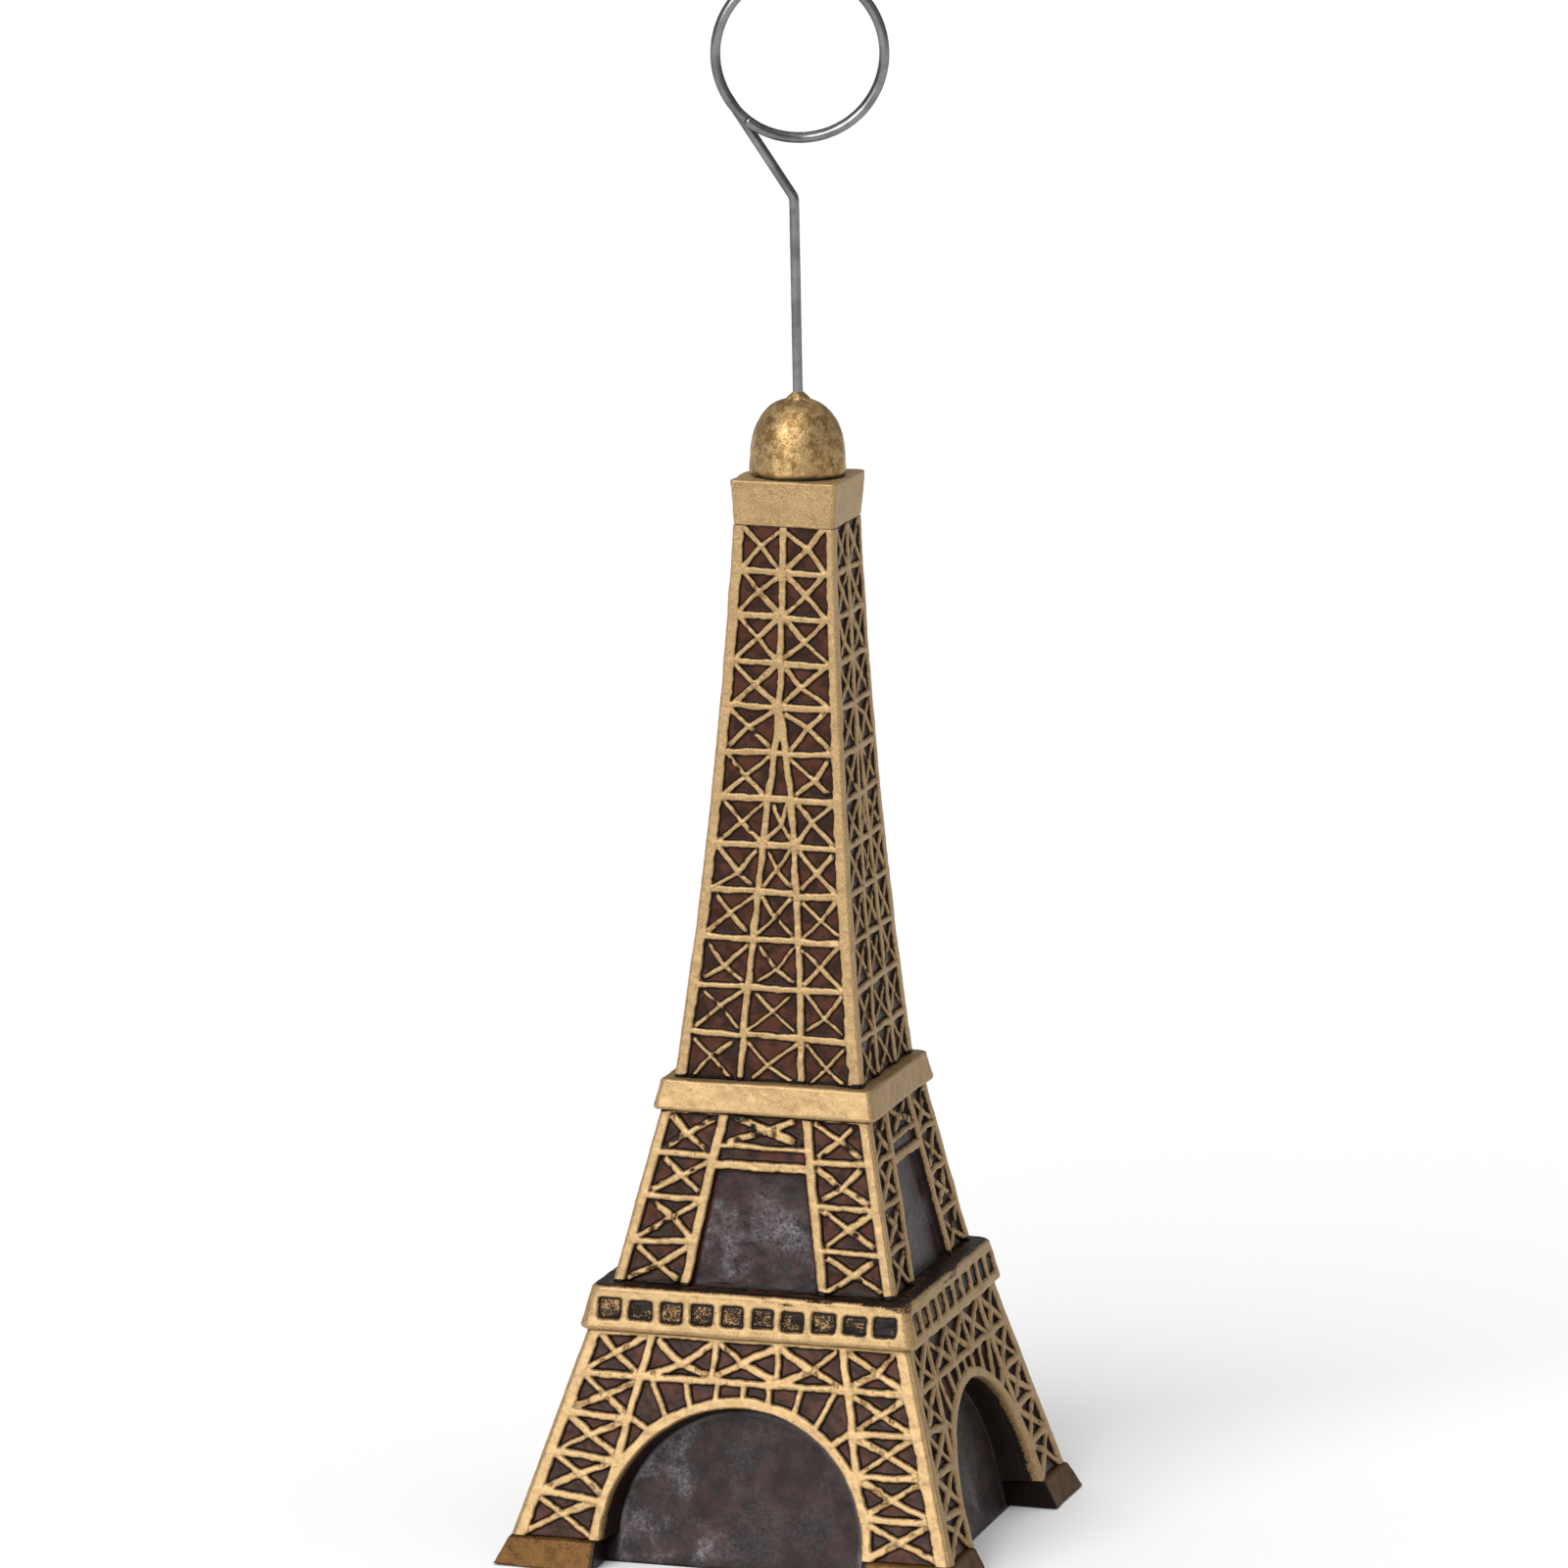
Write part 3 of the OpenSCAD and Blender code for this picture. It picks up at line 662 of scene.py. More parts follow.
def build_leg_stage():
    step_rows = rows_between(0, LEG_TOP_Z, SKIN_STEP, breaks=(FOOT_Z,))
    columns = round(2 * mix(*LEG_HALF, 0.5) / SKIN_STEP)
    corner_nodes = {"front": "leg_front_left", "right": "leg_front_right",
                    "back": "leg_back_right", "left": "leg_back_left"}
    for seed, (side, turn) in enumerate(FACES):
        face = Face(leg_half(step_rows), step_rows, 0.7, columns, turn)
        relief = draw_leg_stage(face, LEG_SEED + seed).height()
        deep = face.half - core_half(face.z) + 0.35
        arch = inside_arch(face.x, face.z) + 0.06 * noise(face.base, 1.5, 5)
        arch = np.where(face.z < FOOT_Z, WALL_DRAFT * 2, arch)
        wall = np.clip(arch / WALL_DRAFT, 0, 1)
        depth = np.where(arch > 0, deep * wall, RELIEF * (1 - relief))
        relief = np.where(arch > 0, np.maximum(0, 1 - 2.0 * wall), relief)
        # Painted shade darkens the deeper part of the arch wall.
        painted_shade = smooth((wall - 0.35) / 0.30)
        skin("leg_stage_" + side, face, relief, depth, 0 * relief,
             ["leg_lattice_" + side, "arch_wall_" + side, corner_nodes[side]], painted_shade=painted_shade)


def build_core():
    """The smooth core seen through the arches, as one block with its four faces joined."""
    heights = rows_between(0, LEG_TOP_Z, CORE_STEP)
    grids, looks = [], []
    for side, turn in FACES:
        face = Face(core_half(heights), heights, 0.5, CORE_COLUMNS, turn)
        arch = inside_arch(face.x, face.z) - WALL_DRAFT
        # A painted highlight line runs where the panel meets the arch wall.
        edge = np.exp(-((arch - 0.15) / 0.22) ** 2) * (0.55 + 0.45 * noise(face.base, 3.0, 9))
        # Painted shade darkens the panel beside the arch walls and at its foot.
        wash_and_shade = smooth(1 - arch / 0.35) + 0.55 * smooth(1 - face.z / 2.0)
        points = face.pushed(0.08 * noise(face.base, 7.0, 8) + 0.02 * noise(face.base, 1.2, 6))
        grids.append(points[:, :-1])
        # The bloom, partly a painted sheen, is strongest towards each face's left and foot.
        bloom_and_sheen = smooth(0.45 - face.x / 26 - face.z / 60 + 0.35 * noise(face.base, 6.0, 10))
        looks.append(look_of(0 * arch, np.maximum(edge, 0), np.minimum(wash_and_shade, 1), bloom_and_sheen)
                     .reshape(len(heights), CORE_COLUMNS, 4)[:, :-1])
    solid, faces = closed_round(np.concatenate(grids, 1), [[0, 0, 0], [0, 0, LEG_TOP_Z]])
    look = np.concatenate([np.concatenate(looks, 1).reshape(-1, 4), np.zeros((2, 4))])
    mesh_piece("recessed_core_panels", solid, faces, look, PANEL, "tower",
               ["recessed_core"], flat_faces=(1,))


# ---- Rounded stages: gallery, band, cabin ----

PROFILE_STEP = 0.13
LEDGE_STEP = 0.3


def rounded_profile(bottom, top, z0, z1, radius, ledge_bottom, ledge_top):
    """The outline up a side with rounded edges, from a ledge under it to one on top.

    Returns each row's half width, height and tilt upwards."""
    halves, heights, tilts = [], [], []

    def run(points_half, points_z, tilt):
        halves.extend(points_half)
        heights.extend(points_z)
        tilts.extend(np.broadcast_to(tilt, len(points_half)))

    n = max(2, round((bottom - radius - ledge_bottom) / LEDGE_STEP))
    run(np.linspace(ledge_bottom, bottom - radius, n, endpoint=False), np.full(n, z0), -math.pi / 2)
    turns = np.linspace(-math.pi / 2, 0, 7)
    run(bottom - radius + radius * np.cos(turns), z0 + radius + radius * np.sin(turns), turns)
    m = round((z1 - z0 - 2 * radius) / PROFILE_STEP)
    t = np.linspace(0, 1, m + 2)[1:-1]
    run(mix(bottom, top, t), mix(z0 + radius, z1 - radius, t), 0.0)
    turns = np.linspace(0, math.pi / 2, 7)
    run(top - radius + radius * np.cos(turns), z1 - radius + radius * np.sin(turns), turns)
    n = max(2, round((top - radius - ledge_top) / LEDGE_STEP))
    run(np.linspace(top - radius, ledge_top, n + 1)[1:], np.full(n, z1), math.pi / 2)
    return np.array(halves), np.array(heights), np.array(tilts)


def rounded_stage(name, profile, corner, material, nodes, draw=None,
                  step=0.16, roll=0.10, top_paint=1.0):
    """A square stage with rounded edges, its four faces joined all round, and flat caps on its axis."""
    halves, heights, tilts = profile
    columns = round(2 * halves.max() / step)
    grids, looks = [], []
    for seed, (side, turn) in enumerate(FACES):
        face = Face(halves, heights, np.minimum(corner, halves * 0.5), columns, turn)
        up = tilts[:, None]
        relief, depth = np.ones(face.shape), np.zeros(face.shape)
        if draw:
            relief, depth = draw(face, seed)
        relief = relief * mix(1.0, top_paint, smooth(up / (math.pi / 2) * 1.6 - 0.5))
        out = face.out * np.cos(up)[..., None] + np.array([0, 0, 1.0]) * np.sin(up)[..., None]
        uneven = cast_noise(face.base) + roll * noise(face.base, 4.5, 55) * (1 - relief * 0.2)
        points = face.base - out * (depth + uneven * 1.2 + 0.03)[..., None]
        # Painted shade darkens the windows' sunk borders.
        wash_and_shade = 1.1 * blur(1 - relief, 1) * (1 - relief) if draw else 0 * relief
        grids.append(points[:, :-1])
        looks.append(look_of(relief, 0, wash_and_shade, 0.5).reshape(len(heights), columns, 4)[:, :-1])
    points, look = np.concatenate(grids, 1), np.concatenate(looks, 1)
    solid, faces = closed_round(points, [[0, 0, points[row, :, 2].mean()] for row in (0, -1)])
    look = np.concatenate([look.reshape(-1, 4), look[0, :1], look[-1, :1]])
    mesh_piece(name, solid, faces, look, material, "tower", nodes)


WINDOWS = 10
WINDOW_SIZE = (2.7, 2.25)
WINDOW_DEPTH = 0.5
WINDOW_CORNER = 0.35
WINDOW_SEED = 70


def draw_windows(face, seed):
    """The row of sunk windows on one side of the gallery."""
    random = np.random.default_rng(WINDOW_SEED + seed)
    pitch = 2 * (GALLERY_HALF[1] - 0.8) / WINDOWS
    middle_z = mix(LEG_TOP_Z, GALLERY_TOP_Z, 0.5)
    x = face.x + 0.08 * noise(face.base, 0.9, 21)
    z = face.z + 0.08 * noise(face.base, 0.9, 22)
    depth, relief = np.zeros(face.shape), np.ones(face.shape)
    for i in range(WINDOWS):
        # The brush left most paint in the windows at the left.
        gilt = np.clip(0.47 - 0.014 * i + random.normal(0, 0.03), 0.30, 0.50)
        at = (i + 0.5 - WINDOWS / 2) * pitch + random.normal(0, 0.06)
        at_z = middle_z + random.normal(0, 0.05)
        w, h = (s / 2 + random.normal(0, 0.05) for s in WINDOW_SIZE)
        dx, dz = np.abs(x - at) - (w - WINDOW_CORNER), np.abs(z - at_z) - (h - WINDOW_CORNER)
        outside = np.hypot(np.maximum(dx, 0), np.maximum(dz, 0)) + np.minimum(np.maximum(dx, dz), 0)
        outside -= WINDOW_CORNER
        sunk = smooth((0.12 - outside) / 0.24)
        # Each window's floor stands up a little in its middle, and takes some of the paint.
        pad = smooth((-outside - 0.08) / 0.22)
        depth = np.maximum(depth, WINDOW_DEPTH * sunk * (1 - 0.35 * pad))
        relief = np.minimum(relief, 1 - sunk * (1 - gilt * pad))
    # Dark streaks lie under the top edge, where the brush missed.
    streak = noise(face.base * [0.25, 0.25, 1.6], 0.8, 23) * smooth((face.z - GALLERY_TOP_Z + 1.3) / 0.5)
    return relief * (1 - 0.55 * smooth((streak - 0.25) / 0.3)), depth


def build_gallery():
    profile = rounded_profile(*GALLERY_HALF, LEG_TOP_Z, GALLERY_TOP_Z, 0.6, 17.5, DECK_HALF - 0.1)
    rounded_stage("gallery_rim", profile, 1.3, WINDOW_PAINT, ["gallery"], draw=draw_windows, top_paint=0.30)
    deck = rounded_profile(DECK_HALF, DECK_HALF, GALLERY_TOP_Z - 0.8, GALLERY_TOP_Z, 0.12, 12, 11)
    rounded_stage("gallery_floor", deck, 0.5, DECK_PAINT, ["gallery_deck"], step=0.3,
                  roll=0.05, top_paint=0.30)


def build_band():
    profile = rounded_profile(*BAND_HALF, MIDDLE_TOP_Z, BAND_TOP_Z, 0.4, 10.5, 8)
    rounded_stage("second_platform", profile, 0.8, TRIM_PAINT, ["band"], roll=0.14, top_paint=0.55)


def build_cabin():
    profile = rounded_profile(*CABIN_HALF, SHAFT_TOP_Z, CABIN_TOP_Z, 0.22, 4, 3)
    rounded_stage("cabin_block", profile, 0.55, TRIM_PAINT, ["cabin"], step=0.1, roll=0.06, top_paint=0.8)


# ---- Middle stage ----

MIDDLE_ROWS = 4
MIDDLE_SEED = 31
MIDDLE_POST_W = 1.15
MIDDLE_INNER = (7.5, 4.2)
PANEL_TOP_Z = 44.1
SLOT_TOP_Z = 46.4
PANEL_DEPTH = 1.05


def middle_half(z):
    return along(MIDDLE_HALF, z, GALLERY_TOP_Z, MIDDLE_TOP_Z)


def middle_inner(z):
    return along(MIDDLE_INNER, z, GALLERY_TOP_Z, MIDDLE_TOP_Z)


def middle_cell(z0, z1):
    return cell_between(middle_inner, MIDDLE_POST_W, middle_half, POST_W, z0, z1)


def build_middle_stage():
    heights = rows_between(GALLERY_TOP_Z, MIDDLE_TOP_Z, SKIN_STEP)
    columns = round(2 * mix(*MIDDLE_HALF, 0.5) / SKIN_STEP)
    for seed, (side, turn) in enumerate(FACES):
        face = Face(middle_half(heights), heights, 0.5, columns, turn)
        lattice = Lattice(face, MIDDLE_SEED + seed)
        lattice.area(np.abs(face.x) - (face.half - POST_W * 0.95))
        post = np.abs(lattice.x) - middle_inner(lattice.z)
        lattice.area(np.minimum(post, MIDDLE_POST_W - post))
        levels = [mix(GALLERY_TOP_Z, MIDDLE_TOP_Z, i / MIDDLE_ROWS) for i in range(MIDDLE_ROWS + 1)]
        for sign in (1, -1):
            for z in levels[1:]:
                tilt = lattice.random.normal(0, 0.08)
                inner, outer = sign * (middle_inner(z) + 0.55), sign * (middle_half(z) - 0.8)
                lattice.bar((inner, z - tilt), (outer, z + tilt), BAR_W * 0.9)
            for z0, z1 in zip(levels, levels[1:]):
                cell = middle_cell(z0, z1)
                lattice.crossed_cell(cell if sign > 0 else mirrored(cell), BAR_W * 0.92, 0.15)
        for z, width in ((PANEL_TOP_Z + 0.5, 1.0), (SLOT_TOP_Z + 0.3, 0.6)):
            lattice.bar((-middle_inner(z) - 0.5, z), (middle_inner(z) + 0.5, z), width)
        low_z, inner = SLOT_TOP_Z + BAR_W, middle_inner(MIDDLE_TOP_Z)
        lattice.crossed_cell([[-inner, low_z], [inner, low_z], [inner, MIDDLE_TOP_Z - 0.3],
                              [-inner, MIDDLE_TOP_Z - 0.3]], BAR_W * 1.15, 0.3)
        relief = lattice.height()
        hole = np.minimum(middle_inner(face.z) - np.abs(lattice.x), PANEL_TOP_Z - lattice.z)
        sunk = smooth((hole + 0.05) / 0.45) * smooth((face.z - GALLERY_TOP_Z) / 0.5 + 0.5)
        depth = RELIEF * (1 - relief) + (PANEL_DEPTH - RELIEF) * sunk
        skin("middle_stage_" + side, face, relief, depth, smooth((hole - 0.25) / 0.3),
             ["middle_lattice_" + side] + (["middle_core"] if side == "front" else []),
             seams=(0.45, 0.22))


# ---- Shaft ----

SHAFT_ROWS = 12
SHAFT_SEED = 51
SHAFT_POST_W = 1.35
SHAFT_BAR_W = 0.6
FORK_Z = 94.5
FORK_POWER = 0.68
FORK_ASIDE = 0.3
ROW_SINK = 0.8
ROW_POWER = 0.955


def shaft_half(z):
    t = (z - BAND_TOP_Z) / (SHAFT_TOP_Z - BAND_TOP_Z)
    return mix(*SHAFT_HALF, t) - 4 * SHAFT_HOLLOW * t * (1 - t)


def shaft_level(i):
    return mix(BAND_TOP_Z - ROW_SINK, SHAFT_TOP_Z, (i / SHAFT_ROWS) ** ROW_POWER)


def fork_half(z):
    left = min(1.0, max(0.0, (FORK_Z - z) / (FORK_Z - BAND_TOP_Z)))
    return SHAFT_HALF[0] / 3 * left ** FORK_POWER


def draw_shaft(face, seed):
    lattice = Lattice(face, seed, wobble=0.11, soft=0.11)
    t = (face.z - BAND_TOP_Z) / (SHAFT_TOP_Z - BAND_TOP_Z)
    post_w = np.where(face.x > 0, mix(1.65, 0.95, t), SHAFT_POST_W) * lattice.swell ** 0.5
    lattice.area(np.abs(face.x) - (face.half - post_w))
    aside = FORK_ASIDE * lattice.random.choice([-1, 1]) if seed > SHAFT_SEED else FORK_ASIDE
    upright_w = SHAFT_BAR_W * 1.35
    lattice.bar((0, FORK_Z - 2), (0, SHAFT_TOP_Z), upright_w)
    levels = [shaft_level(i) for i in range(SHAFT_ROWS + 1)]

    def fork(z, sign):
        return sign * fork_half(z) + aside * min(1.0, fork_half(z))

    for sign in (1, -1):
        for z0, z1 in zip(levels, levels[1:]):
            if z0 < FORK_Z:
                lattice.bar((fork(z0, sign), z0), (fork(z1, sign), z1), upright_w)
    for i, (z0, z1) in enumerate(zip(levels, levels[1:])):
        if i:
            # The bar across steps a little where the uprights cut it.
            cuts = [-shaft_half(z0), fork(z0, -1), fork(z0, 1), shaft_half(z0)]
            for a, b in zip(cuts, cuts[1:]):
                if b - a > 0.3:
                    shift = lattice.random.normal(0, 0.10, 2)
                    a, b = (min(max(x, 0.8 - shaft_half(z0)), shaft_half(z0) - 0.8) for x in (a, b))
                    lattice.bar((a, z0 + shift[0]), (b, z0 + shift[1]),
                                SHAFT_BAR_W * lattice.random.uniform(1.15, 1.4))
        inset, edge = SHAFT_BAR_W / 2, SHAFT_POST_W
        share = i / SHAFT_ROWS
        arm_w = SHAFT_BAR_W * mix(0.85, 1.15, share)
        gap = mix(0.40, -0.25, share)
        for sign in (1, -1):
            cell = [[abs(fork(z0, sign)) + inset, z0 + inset], [shaft_half(z0) - edge, z0 + inset],
                    [shaft_half(z1) - edge, z1 - inset], [abs(fork(z1, sign)) + inset, z1 - inset]]
            lattice.crossed_cell(cell if sign > 0 else mirrored(cell), arm_w, gap)
        if fork_half(z1) > 1.2:
            lattice.crossed_cell([[fork(z0, -1) + inset, z0 + inset], [fork(z0, 1) - inset, z0 + inset],
                                  [fork(z1, 1) - inset, z1 - inset], [fork(z1, -1) + inset, z1 - inset]],
                                 arm_w * 0.9, gap)
    return lattice


def build_shaft():
    heights = rows_between(BAND_TOP_Z, SHAFT_TOP_Z, SKIN_STEP)
    columns = round(2 * SHAFT_HALF[0] / SKIN_STEP)
    for seed, (side, turn) in enumerate(FACES):
        face = Face(shaft_half(heights), heights, 0.45, columns, turn)
        relief = draw_shaft(face, SHAFT_SEED + seed).height()
        depth = SHAFT_RELIEF * (1 - relief)
        skin("shaft_" + side, face, relief, depth, 0 * relief,
             ["shaft_lattice_" + side] + (["shaft_core"] if side == "front" else []), seams=(0.35, 0.0))


# ---- Plinths ----

def unit_block(cells):
    """A cube, as points from -1 to 1 and quads on its six sides."""
    t = np.linspace(-1, 1, cells)
    points, quads, start = [], [], 0
    for axis in range(3):
        for sign in (1, -1):
            a, b = np.meshgrid(t, t, indexing="ij")
            p = np.zeros((cells, cells, 3))
            p[..., axis] = sign
            p[..., (axis + 1) % 3], p[..., (axis + 2) % 3] = a, b
            points.append(p.reshape(-1, 3))
            f = grid_faces(cells, cells)
            quads.append((f if sign < 0 else f[:, ::-1]) + start)
            start += cells * cells
    return np.concatenate(points), np.concatenate(quads)


PLINTH_CELLS = 70
PLINTH_EDGE_R = 0.35


def build_plinths():
    corners = {"front_right": 0, "back_right": 90, "back_left": 180, "front_left": 270}
    inner = LEG_INNER[0] + 0.05
    unit, quads = unit_block(PLINTH_CELLS)
    _, index, inverse = np.unique(np.round(unit, 6), axis=0, return_index=True, return_inverse=True)
    unit, quads = unit[index], inverse.reshape(-1)[quads]
    for name, turn in corners.items():
        z = (unit[:, 2] + 1) / 2 * FOOT_Z
        outer = along((PLINTH_HALF - 0.05, LEG_HALF[0] + 0.25), z, 0, FOOT_Z)
        size = np.stack([(outer - inner) / 2, (outer - inner) / 2, 0 * z + FOOT_Z / 2], -1)
        middle = np.stack([(outer + inner) / 2, -(outer + inner) / 2, 0 * z + FOOT_Z / 2], -1)
        full = unit * size
        core = np.clip(full, PLINTH_EDGE_R - size, size - PLINTH_EDGE_R)
        away = full - core
        length = np.maximum(np.linalg.norm(away, axis=1, keepdims=True), 1e-9)
        normal = away / length
        points = turned(core + normal * PLINTH_EDGE_R + middle, turn)
        out = turned(normal, turn)
        points = points - out * (0.10 * noise(points, 3.5, 91) + cast_noise(points) + 0.12)[:, None]
        points[:, 2] = np.maximum(points[:, 2], 0)
        flat = turned(points, -turn)
        # The ends that face the arches are dark.
        end = np.minimum(flat[:, 0] - inner, -flat[:, 1] - inner)
        relief = 0.25 + 0.75 * smooth((end - 0.1) / 0.8)
        look = look_of(relief, 0, 0.9 * smooth(1 - end / 0.6), 0.5)
        mesh_piece("foot_" + name, points, [quads], look, PLINTH_PAINT, "tower",
                   ["plinth_" + name])


# ---- Dome, glue and wire ----

# The clip's sizes are the CAD's: heights over the dome's top, and degrees travelled round the ring.
RING_TURN = 16
STEM_LEAN = 1.4
STEM_RISE = 22.5
RING_R = 9.4
RING_RISE = 38.7
WIRE_SEAT = 6.5
WIRE_R = 0.55
WIRE_SIDES = 28
BEND_R = 1.6
HANDOVER = 300
RING_START_GAP = 0.6
FREE_END = 704
HELIX_LENGTH = 44
TURN_STEP = 1.14
DOME_POWER = 2.5


def angles(around):
    return np.linspace(0, 2 * math.pi, around, endpoint=False)[None, :]


def round_points(radius, z):
    """Points round the tower's axis, at a radius for each row and column and a height for each row."""
    a = angles(radius.shape[1])
    return np.stack([radius * np.sin(a), -radius * np.cos(a), z[:, None] + 0 * a], -1)


def revolved(name, radius, z, push, look, nodes):
    """A closed piece round the tower's axis, from rows of [radius, height] pushed out by noise."""
    solid, faces = closed_round(round_points(radius[:, None] + push, z), [[0, 0, z[0]], [0, 0, z[-1]]])
    look = look.reshape(-1, 4)
    look = np.concatenate([look, look[:1], look[-1:]])
    mesh_piece(name, solid, faces, look, DOME_PAINT, "tower", nodes)


def build_dome():
    rows, around = 130, 260
    t = np.linspace(0, math.pi / 2, rows)
    rise = DOME_TOP_Z - CABIN_TOP_Z
    z = CABIN_TOP_Z + rise * np.sin(t)
    radius = DOME_R * np.maximum(0.002, 1 - np.sin(t) ** DOME_POWER) ** (1 / DOME_POWER)
    where = round_points(radius[:, None] + np.zeros(around), z)
    squarish = 0.10 * np.cos(4 * angles(around)) * (radius / DOME_R)[:, None]
    push = squarish - 0.16 + (0.10 * noise(where, 3.2, 61) + 0.04 * noise(where, 1.0, 62)) \
        * np.minimum(1, radius / 2)[:, None]
    # The joint with the cabin is an uneven dark groove.
    groove = smooth(1 - (z[:, None] - CABIN_TOP_Z - 0.25 * noise(where, 1.3, 63)) / 0.55)
    push = push - 0.22 * groove
    look = look_of(1 - groove, 0, groove, 0.5)
    revolved("dome_cap", radius, z, push, look, ["dome"])


def build_glue():
    rows, around = 40, 120
    t = np.linspace(0, 1, rows)
    radius = 0.50 + 1.05 * np.sin(np.pi * (1 - t) / 2 * 0.98) ** 1.2
    z = DOME_TOP_Z - 1.0 + 1.75 * t ** 0.8
    where = round_points(np.full((rows, around), 2.0), z)
    lumps = 0.16 * noise(where, 1.3, 64) + 0.10 * noise(where, 0.6, 65)
    push = lumps * np.sin(np.pi * (1 - t) * 0.9 + 0.2)[:, None]
    look = look_of(np.ones(push.shape), 0, 0.3 * smooth(1 - t * 3)[:, None], 0.5)
    revolved("glue_lump", radius, z, push, look, ["glue_collar"])


def wire_geometry():
    """The clip's plane: where the stem bends, and where the arm meets the ring."""
    bend = np.array([-STEM_RISE * math.tan(math.radians(STEM_LEAN)), STEM_RISE])
    to_centre = np.array([0, RING_RISE]) - bend
    reach = np.linalg.norm(to_centre)
    arm = math.atan2(to_centre[1], to_centre[0]) + math.asin(RING_R / reach)
    stem = math.pi / 2 + math.radians(STEM_LEAN)
    return bend, stem, arm


def clip_to_tower(points):
    return turned(points, RING_TURN) + [0, 0, DOME_TOP_Z]


def tube(name, path, body, node):
    """The wire along a path in the clip's plane, cut square at its ends."""
    path = np.asarray(path, float)
    tangent = np.gradient(path, axis=0)
    tangent /= np.linalg.norm(tangent, axis=1, keepdims=True)
    across = np.cross(tangent, [0, 1, 0])
    across /= np.linalg.norm(across, axis=1, keepdims=True)
    depth = np.cross(across, tangent)
    b = angles(WIRE_SIDES)[..., None]
    ring = across[:, None] * np.cos(b) + depth[:, None] * np.sin(b)
    points = path[:, None] + ring * WIRE_R
    solid, faces = closed_round(points, path[[0, -1]])
    look = np.zeros((len(solid), 4))
    mesh_piece(name, clip_to_tower(solid), faces, look, STEEL, body, [node], flat_faces=(1,))


def ease(t):
    u = min(1.0, max(0.0, t))
    return u * u * (3 - 2 * u)


def ring_point(travel, tangent_angle):
    a = tangent_angle - math.radians(travel)
    steps = ease((travel - HANDOVER) / HELIX_LENGTH) + ease((travel - HANDOVER - 360) / HELIX_LENGTH)
    back = -TURN_STEP * steps
    return [RING_R * math.cos(a), back, RING_RISE + RING_R * math.sin(a)]


def build_wire():
    bend, stem, arm = wire_geometry()
    trim = BEND_R * math.tan((arm - stem) / 2)
    up_stem = np.array([math.cos(stem), math.sin(stem)])
    start, corner = -WIRE_SEAT * up_stem, bend - trim * up_stem
    centre = corner + BEND_R * np.array([-math.sin(stem), math.cos(stem)])
    tangent_angle = arm + math.pi / 2
    end = [RING_R * math.cos(tangent_angle), RING_RISE + RING_R * math.sin(tangent_angle)]
    path = [mix(start, corner, t) for t in np.linspace(0, 1, 40)[:-1]]
    for heading in np.linspace(stem, arm, 16):
        path.append(centre + BEND_R * np.array([math.sin(heading), -math.cos(heading)]))
    path += [mix(path[-1], np.array(end), t) for t in np.linspace(0, 1, 16)[1:]]
    tube("clip_stem", [[x, 0, z] for x, z in path], "tower", "wire_stem")
    rear = [ring_point(t, tangent_angle) for t in np.arange(0, HANDOVER + 1, 2)]
    tube("clip_rear_turn", rear, "tower", "ring_rear_turn")
    first = HANDOVER + RING_START_GAP
    front = [ring_point(t, tangent_angle) for t in np.arange(first, FREE_END + 0.1, 2)]
    tube("clip_front_turn", front, "clip_leaf", "ring_front_turn")


# ---- Camera, light and floor: degrees, millimetres for the camera's place, metres for the floor ----

CAMERA_AZIMUTH, CAMERA_ELEVATION, CAMERA_ROLL = 15.92, 10.3, 0.30
CAMERA_AIM_Z, CAMERA_ASIDE, CAMERA_DISTANCE = 86.0, -1.33, 1138.1
CAMERA_LENS, CAMERA_SENSOR, CAMERA_REACH = 231.8, 36, 100
FLOOR_HALF = 40
FLOOR_Z = -0.00005
FLOOR_WHITE = 0.92
WORLD_STRENGTH = 0.30
SUNS = (("key", 2.9, 42, (-0.17, -0.86, 0.58)), ("overhead", 1.0, 90, (-0.1, -0.1, 1)))


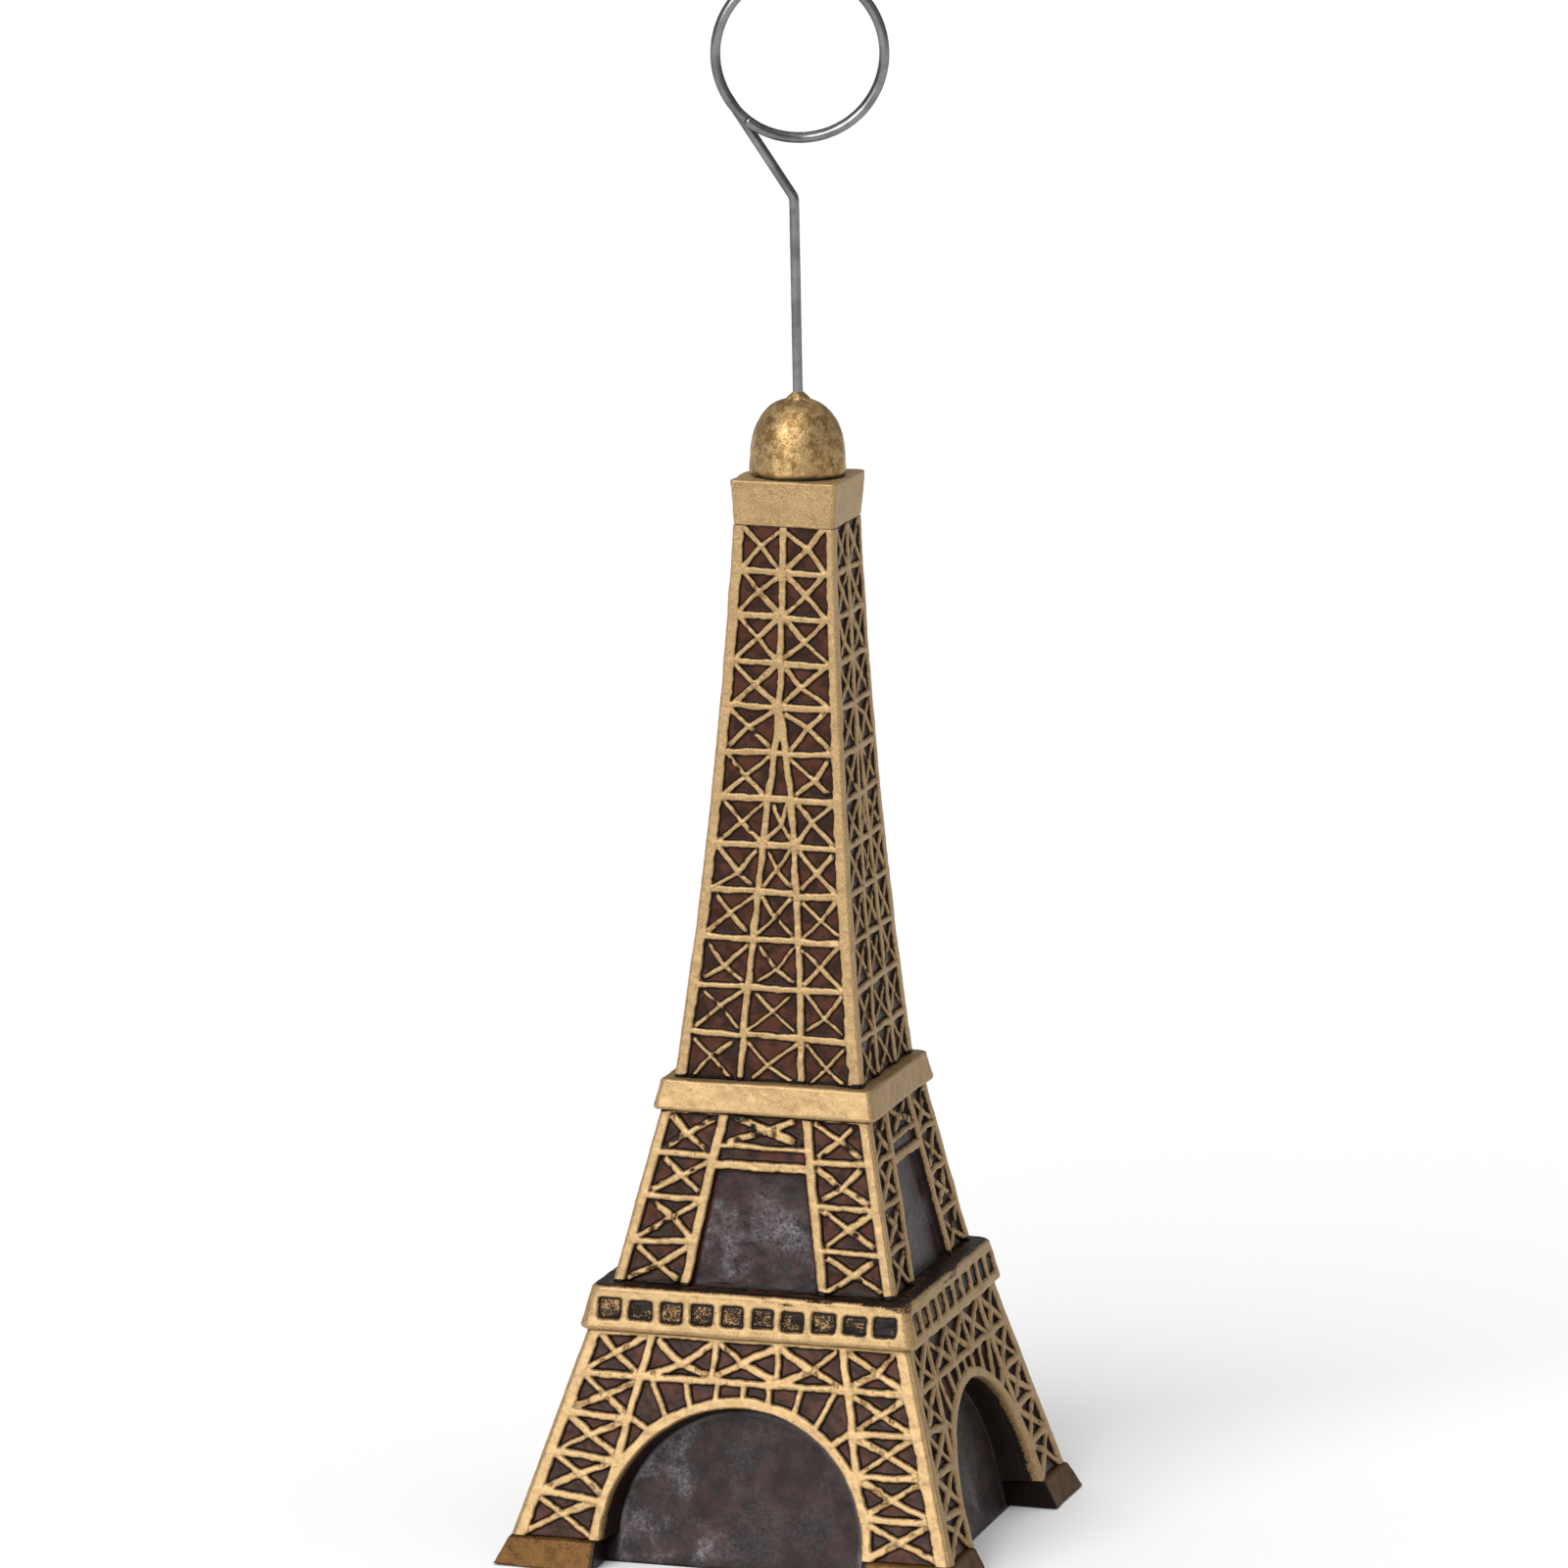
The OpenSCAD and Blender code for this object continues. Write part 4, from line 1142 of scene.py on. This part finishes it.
def build_camera():
    """A long lens, a little above the object and to the right of its front."""
    azimuth, elevation, roll = (math.radians(a) for a in (CAMERA_AZIMUTH, CAMERA_ELEVATION, CAMERA_ROLL))
    back = Vector((math.sin(azimuth) * math.cos(elevation),
                   -math.cos(azimuth) * math.cos(elevation), math.sin(elevation)))
    right = (-back).cross(Vector((0, 0, 1))).normalized()
    up = right.cross(-back)
    turned_right = right * math.cos(roll) + up * math.sin(roll)
    turned_up = up * math.cos(roll) - right * math.sin(roll)
    data = bpy.data.cameras.new("camera")
    data.lens, data.sensor_width, data.clip_end = CAMERA_LENS, CAMERA_SENSOR, CAMERA_REACH
    camera = bpy.data.objects.new("camera", data)
    bpy.context.scene.collection.objects.link(camera)
    place = (Vector((0, 0, CAMERA_AIM_Z)) + right * CAMERA_ASIDE + back * CAMERA_DISTANCE) * MM
    camera.matrix_world = Matrix.Translation(place) @ Matrix(
        (turned_right, turned_up, back)).transposed().to_4x4()
    bpy.context.scene.camera = camera


def build_floor():
    mesh = bpy.data.meshes.new("floor")
    corners = [(x * FLOOR_HALF, y * FLOOR_HALF, FLOOR_Z) for x, y in ((-1, -1), (1, -1), (1, 1), (-1, 1))]
    mesh.from_pydata(corners, [], [(0, 1, 2, 3)])
    floor = bpy.data.objects.new("floor", mesh)
    bpy.context.scene.collection.objects.link(floor)
    material = bpy.data.materials.new("floor_paper")
    material.use_nodes = True
    shader = material.node_tree.nodes["Principled BSDF"]
    shader.inputs["Base Color"].default_value = (FLOOR_WHITE, FLOOR_WHITE, FLOOR_WHITE, 1)
    shader.inputs["Roughness"].default_value = 0.9
    mesh.materials.append(material)


def build_light():
    scene = bpy.context.scene
    scene.view_settings.view_transform = "Standard"
    world = bpy.data.worlds.new("studio")
    world.use_nodes = True
    world.node_tree.nodes["Background"].inputs["Color"].default_value = (1, 1, 1, 1)
    world.node_tree.nodes["Background"].inputs["Strength"].default_value = WORLD_STRENGTH
    scene.world = world
    for name, energy, angle, aim in SUNS:
        sun = bpy.data.lights.new(name, "SUN")
        sun.energy, sun.angle = energy, math.radians(angle)
        lamp = bpy.data.objects.new(name, sun)
        scene.collection.objects.link(lamp)
        lamp.rotation_euler = Vector(aim).to_track_quat("Z", "Y").to_euler()


build_camera()
build_floor()
build_light()
build_leg_stage()
build_core()
build_plinths()
build_gallery()
build_middle_stage()
build_band()
build_shaft()
build_cabin()
build_dome()
build_glue()
build_wire()
